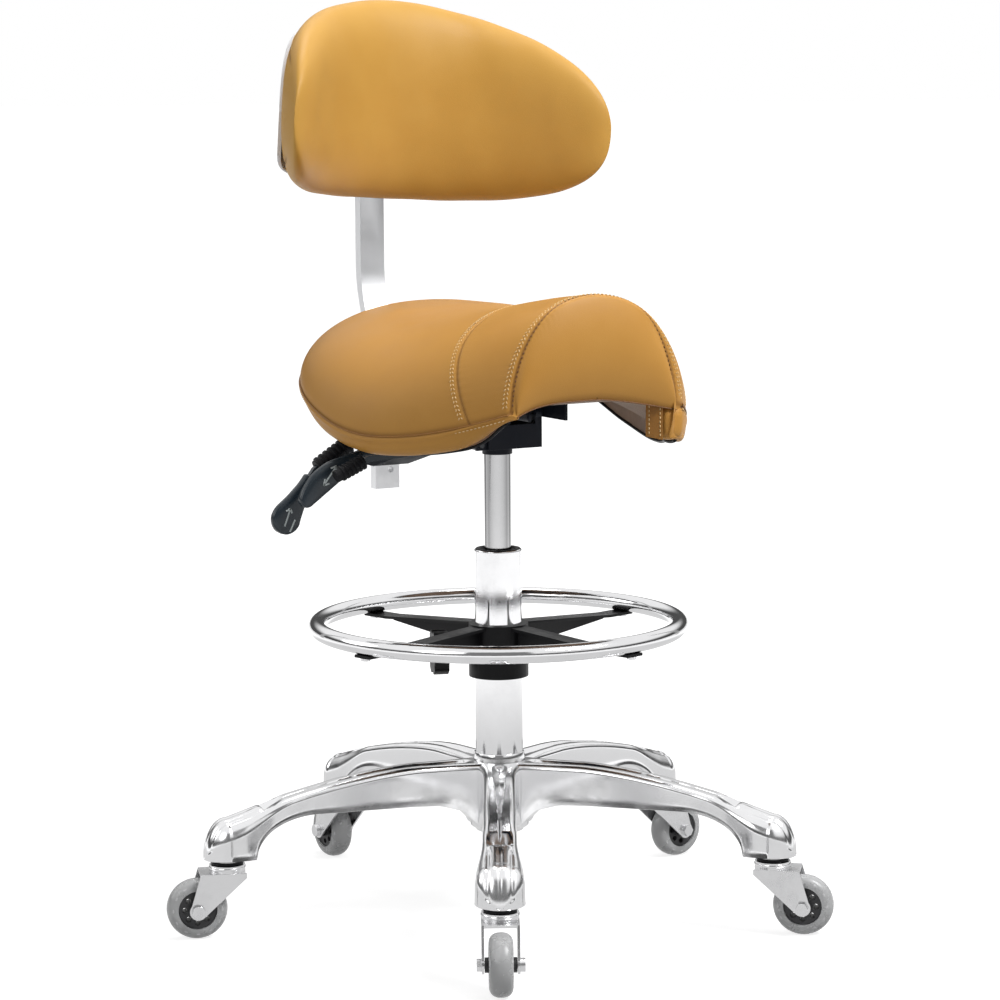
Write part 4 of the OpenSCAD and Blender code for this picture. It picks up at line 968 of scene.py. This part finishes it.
def makeColumn():
    for name, node, below, above, finish, slot, sides, sharp in (
            ("columnTube", "column_tube", (0.023, 0.025), tubeTop, chrome, "chrome", 144, 32),
            ("guideBush", "guide_bush", (0.01405, 0.0229), bushTop, blackPlastic, "black_plastic", 96, 45)):
        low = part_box(node)[0].z
        profile = [(r, low) for r in below] + [(r, column["top"] + z) for r, z in above]
        owned(lathe(name, profile, (0, 0, 0), finish, "base", sides, sharp), node)
    reach, thick = column["ring"], column["ringHalf"]
    middle = sum(v.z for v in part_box("ring_tube")) / 2
    a, b = allRound(240)[:, None], allRound(40)[None]
    radius = reach + thick * np.cos(b)
    grid = joined(radius * np.cos(a), radius * np.sin(a), middle + thick * np.sin(b))
    ring = meshObject("footRing", grid, gridQuads(240, 40, True, True), finish=chrome, body="foot_ring")
    owned(ring, "ring_tube")


makeColumn()

# Everything else keeps its CAD shape, with its edges broken by so many tenths of a millimetre and its own finish
plainPieces = (
    (zincSteel, {"gas_rod": 4, "retaining_clip": 3, "bearing_race": 3, "column_floor": 4, "release_pin": 5,
                 "caster_stems": 9, "ring_screws": 5, "seat_screws": 6, "pad_hinge_pin": 5, "pad_screws": 5}),
    (blackPlastic, {"gas_piston": 6, "ring_clamp_knob": 16, "bar_clamp_knob": 14}),
    (blackRubber, {"bump_stop": 8, "tilt_boot": 7, "recline_grip": 6}),
    (navyPaint, {"housing": 14, "seat_plate": 7, "pad_bracket": 7}),
    (navyPlastic, {"height_lever": 10, "tilt_lever": 10, "recline_lever": 10}),
    (darkSteel, {"lever_shaft": 5, "hinge_pins": 6}), (rodChromePaintedBands, {"gas_tube": 4}), (blackPaint, {"ring_spider": 8}),
    (bracketPaint, {"back_bracket": 12}), (satinSilver, {"back_bar": 18}),
    (zincSteel, {f"caster_{part}_{i}": width for i in range(1, 6) for part, width in (("fork", 9), ("axle", 7))}),
    (greyPlastic, {f"caster_hub_{i}": 7 for i in range(1, 6)}))
for finish, widths in plainPieces:
    for node, width in widths.items():
        softened(node, finish, width / 10000)
nodes["bearing_balls"].data.materials.clear()
nodes["bearing_balls"].data.materials.append(zincSteel)
print("hardware dressed")

# Casters: round-shouldered clear tyres with pale windows, and the swivel race and seal over each fork
caster = {"crown": 0.0315, "inner": 0.02, "half": 0.012, "crownPower": 0.8, "sidePower": 0.85, "windows": 12,
          "windowReach": 0.0243, "windowSize": (0.003, 0.0021, 0.0007), "windowOut": 0.0108, "race": 0.0182,
          "top": 0.07}
# radii in mm, with those after the first from the race's own, and heights in mm over the fork's crown
raceProfile = ((-3, 7), (-0.5, 6.4), (1, 5), (1, 3.6), (0.2, 2.2), (-3, 1.2))
sealProfile = ((-2.4, 10.4), (-1.6, 9.8), (-1.6, 7.8), (-2.4, 7.1))


def makeWindows(name, spin, centre, body):  # low domes round both faces of a wheel
    dome, around = degrees(4, 90, 5)[:, None], allRound(16)
    shape = joined(np.sin(dome) * np.cos(around), np.sin(dome) * np.sin(around), np.cos(dome) + 0 * around)
    shape = shape * np.array(caster["windowSize"])
    points, quads = [], []
    for face in (-1, 1):
        for a in allRound(caster["windows"]):
            radial, across = np.array([math.cos(a), math.sin(a), 0]), np.array([-math.sin(a), math.cos(a), 0])
            out = (shape[..., 2:] + caster["windowOut"]) * np.array([0, 0, face])
            spot = shape[..., :1] * across + shape[..., 1:2] * radial + out + radial * caster["windowReach"]
            quads.append(gridQuads(5, 16, False, True) + 80 * len(points))
            points.append(spot.reshape(-1, 3) @ spin.T + centre)
    points, quads = np.concatenate(points), np.concatenate(quads)
    owned(meshObject(name, points, quads, finish=clearPlastic, body=body, outward=False))


def makeCasters():
    thick = caster["crown"] - caster["inner"]
    profile = [[caster["inner"] + thick * math.sin(a) ** caster["crownPower"],
                -caster["half"] * math.copysign(abs(math.cos(a)) ** caster["sidePower"], math.cos(a))]
               for a in degrees(0, 180, 25)]
    for i in range(1, 6):
        low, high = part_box(f"caster_tyre_{i}")
        centre = np.array((low + high) / 2)
        cloud = np.array([v.co for v in nodes[f"caster_tyre_{i}"].data.vertices]) - centre
        axis = np.linalg.svd(cloud, full_matrices=False)[2][2]  # the wheel is thinnest along its axle
        axis[2] = 0
        axis /= np.linalg.norm(axis)
        spin = np.stack([np.cross([0, 0, 1], axis), np.array([0, 0, 1]), axis], 1)
        tyre = lathe(f"casterTyre{i}", profile, centre, tyreRubber, f"wheel_{i}", 72, 60, spin)
        owned(tyre, f"caster_tyre_{i}")
        makeWindows(f"tyreWindows{i}", spin, centre, f"wheel_{i}")
        a = math.radians(casting["turn"] + 72 * (i - 1))
        place = (casting["reach"] * math.cos(a), casting["reach"] * math.sin(a), 0)
        for name, rings, first, last, finish, slot in (
                ("swivelRace", raceProfile, 6.9, 1.2, chrome, "zinc_steel"),
                ("swivelSeal", sealProfile, 10.4, 7.1, blackRubber, "black_rubber")):
            turned = [[caster["race"] + x / 1000, z] for x, z in rings]
            turned = [[x, caster["top"] + z / 1000] for x, z in [[0.008, first]] + turned + [[0.008, last]]]
            owned(lathe(f"{name}{i}", turned, place, finish, f"fork_{i}", 64, 50))


makeCasters()

# Levers: slim hand plates that swell and narrow along their length. Paths and marks are x and z in mm, z from the shaft
lever = {"shaftZ": 506, "halfThick": 0.0055, "markWidth": 0.0016, "markHigh": 0.0012, "steps": 90, "round": 40}
heightPath = (((-160, -4), (-176, -12), (-194, -21), (-209, -31), (-222, -44), (-229, -54)), (9, 16, 25, 26, 20, 12))
tiltPath = (((-205, -26), (-212, -38), (-222, -52), (-233, -67), (-240, -84)), (11, 15, 22, 33, 32))
heightMarks = ((-192, -14, -207, -33), (-192, -14, -194, -21), (-192, -14, -198.5, -16), (-207, -33, -205.5, -26.5),
               (-207, -33, -200.5, -31.5))
tiltMarks = ((-231, -58, -238, -76), (-231, -58, -229.5, -63), (-231, -58, -236, -60.5), (-226, -70, -232, -82))


def ribbon(name, path, widths, y, node):
    path = (np.array(path, float) + np.array([0, lever["shaftZ"]])) / 1000
    gone = lengthAlong(path)
    at, fine = np.linspace(0, gone[-1], lever["steps"]), np.linspace(0, gone[-1], 270)

    def smooth(values):
        dense = np.interp(fine, gone, values)
        padded = np.concatenate([2 * dense[0] - dense[30:0:-1], dense, 2 * dense[-1] - dense[-2:-32:-1]])
        return np.interp(at, fine, blurred(padded, np.hanning(61)))

    line, width = np.stack([smooth(path[:, 0]), smooth(path[:, 1])], -1), smooth(np.array(widths, float) / 2000)
    last, first = width[-1], 0.003  # both ends are round
    cap = roundEnd(np.maximum(0, at - (gone[-1] - last)) / last)
    width = width * np.maximum(cap, 0.02) * np.maximum(roundEnd(np.maximum(0, first - at) / first), 0.05)
    along, a = unit(np.gradient(line, axis=0)), allRound(lever["round"])[None]
    lateral, width = width[:, None] * signedPower(np.cos(a), 0.8), width[:, None]
    depth = lever["halfThick"] * signedPower(np.sin(a), 0.55) * np.minimum(1, width / 0.004)
    grid = joined(line[:, :1] - along[:, 1:] * lateral, y + depth, line[:, 1:] + along[:, :1] * lateral)
    owned(meshObject(name, *capped(grid), navyPlastic, bodyOf[node]), node)


def strokes(name, segments, y, body):  # thin raised lines, each from one point to another in the lever's plane
    points, quads = [], []
    for x0, z0, x1, z1 in segments:
        a, b = (np.array([x, lever["shaftZ"] + z]) / 1000 for x, z in ((x0, z0), (x1, z1)))
        side = np.array([-(b - a)[1], (b - a)[0]])
        side *= lever["markWidth"] / 2 / np.linalg.norm(side)
        k = len(points)
        for q in (a - side, b - side, b + side, a + side):
            points += [[q[0], y, q[1]], [q[0], y + lever["markHigh"], q[1]]]
        quads += [[k, k + 2, k + 4, k + 6], [k + 1, k + 7, k + 5, k + 3]]
        quads += [[k + j, k + j + 1, k + (j + 3) % 8, k + (j + 2) % 8] for j in (0, 2, 4, 6)]
    made = meshObject(name, points, quads, finish=paleMark, body=body, outward=False)
    made.data.polygons.foreach_set("use_smooth", [False] * len(quads))


def makeLevers():
    face = -lever["halfThick"] - 0.0003
    ribbon("heightHandle", *heightPath, 0, "height_paddle")
    ribbon("tiltHandle", *tiltPath, 0.028, "tilt_paddle")
    # plain arrows that say which way each lever goes
    strokes("heightMarks", heightMarks, face, "height_control")
    strokes("tiltMarks", tiltMarks, face + 0.028, "tilt_control")


makeLevers()
print("casters and levers made")

# Studio: a pale floor, soft lamps, and a few cards that only polished metal sees
studio = {"world": 0.27, "floor": 0.42, "glow": (0.8, 1), "floorHalf": 60}
lamps = {"keyLamp": ((1.3, -2.1, 3.3), 0.6, 1.6, 122), "sideLamp": ((-2.5, 1.8, 1.6), 0.7, 1.6, 12),
         "fillLamp": ((-2.9, -1.2, 1.9), 0.6, 1.8, 14), "topLamp": ((0.3, 0.6, 3.2), 0.4, 1.5, 30)}
# azimuth from the camera's side to the right, distance, width, low edge, high edge, grey
cards = {"cardLeft": (-128, 2.6, 0.22, 0, 2.2, 0.45), "cardRight": (132, 2.6, 0.22, 0, 2.2, 0.45),
         "cardFront": (0, 3, 2.2, 0.5, 3, 0.22)}


def seenDirectly(tree):
    path = tree.nodes.new("ShaderNodeLightPath").outputs
    return maths(tree, "MAXIMUM", path["Is Camera Ray"], path["Is Transmission Ray"]), path["Is Glossy Ray"]


def emission(tree, strength, grey=1):
    return put(tree, "Emission", {"Color": (grey, grey, grey, 1), "Strength": strength}).outputs[0]


def makeWorld():
    world = bpy.data.worlds.new("studio")
    bpy.context.scene.world = world
    tree, surface = emptied(world, "World")
    seen, glossy = seenDirectly(tree)
    up = put(tree, "SeparateXYZ", {0: tree.nodes.new("ShaderNodeTexCoord").outputs["Generated"]}).outputs["Z"]
    sky = ranged(tree, up, 0.16, 0.38, 0.08, 1)  # polished metal sees a dark band above the horizon
    level = put(tree, "Mix", {0: seen, 2: studio["world"], 3: 1}, data_type="FLOAT").outputs[0]
    level = put(tree, "Mix", {0: glossy, 2: level, 3: sky}, data_type="FLOAT").outputs[0]
    plug(tree, surface, put(tree, "Background", {"Color": (1, 1, 1, 1), "Strength": level}).outputs[0])


def makeFloor():
    finish = bpy.data.materials.new("floorPaper")
    tree, surface = emptied(finish, "Material")
    seen, glossy = seenDirectly(tree)
    paper = put(tree, "BsdfDiffuse", {"Color": (studio["floor"],) * 3 + (1,)}).outputs[0]
    place = tree.nodes.new("ShaderNodeTexCoord").outputs["Object"]
    far = put(tree, "VectorMath", {0: place}, operation="LENGTH").outputs["Value"]
    glow = times(tree, seen, ranged(tree, far, 0.6, 1.6, *studio["glow"]))  # the page behind is white
    both = put(tree, "AddShader", {0: paper, 1: emission(tree, glow)}).outputs[0]
    # in reflections the floor is grey under the stool, white further out and grey again beyond
    rise, fall = ranged(tree, far, 0.9, 1.5, 0.76, 1.22), ranged(tree, far, 3.1, 3.7, 1, 0.72)
    mirrored = emission(tree, times(tree, rise, fall))
    plug(tree, surface, put(tree, "MixShader", {0: glossy, 1: both, 2: mirrored}).outputs[0])
    corners = np.array([[-1, -1, 0], [1, -1, 0], [1, 1, 0], [-1, 1, 0]]) * studio["floorHalf"]
    meshObject("floor", corners, [[0, 1, 2, 3]], finish=finish, outward=False)


def makeLamp(name, place, aim, size, power):
    data = bpy.data.lights.new(name, "AREA")
    data.shape, data.size, data.energy = "DISK", size, power
    made = newObject(name, data)
    made.location = place
    made.rotation_euler = (Vector((0, 0, aim)) - Vector(place)).to_track_quat("-Z", "Y").to_euler()


def makeCard(name, azimuth, distance, width, low, high, grey):
    a, (x, y) = math.radians(azimuth), camera["ahead"]
    centre = distance * (math.cos(a) * np.array([-x, -y, 0]) + math.sin(a) * np.array([y, -x, 0]))
    across = np.cross(centre / distance, [0, 0, 1]) * width / 2
    corners = [centre + k * across + [0, 0, z] for k, z in ((-1, low), (1, low), (1, high), (-1, high))]
    finish = bpy.data.materials.new(name)
    tree, surface = emptied(finish, "Material")
    plug(tree, surface, emission(tree, 1, grey))
    made = meshObject(name, corners, [[0, 1, 2, 3]], finish=finish, outward=False)
    made.visible_camera = made.visible_diffuse = made.visible_shadow = made.visible_transmission = False


makeWorld()
makeFloor()
for name, values in lamps.items():
    makeLamp(name, *values)
for name, values in cards.items():
    makeCard(name, *values)
print("studio made")
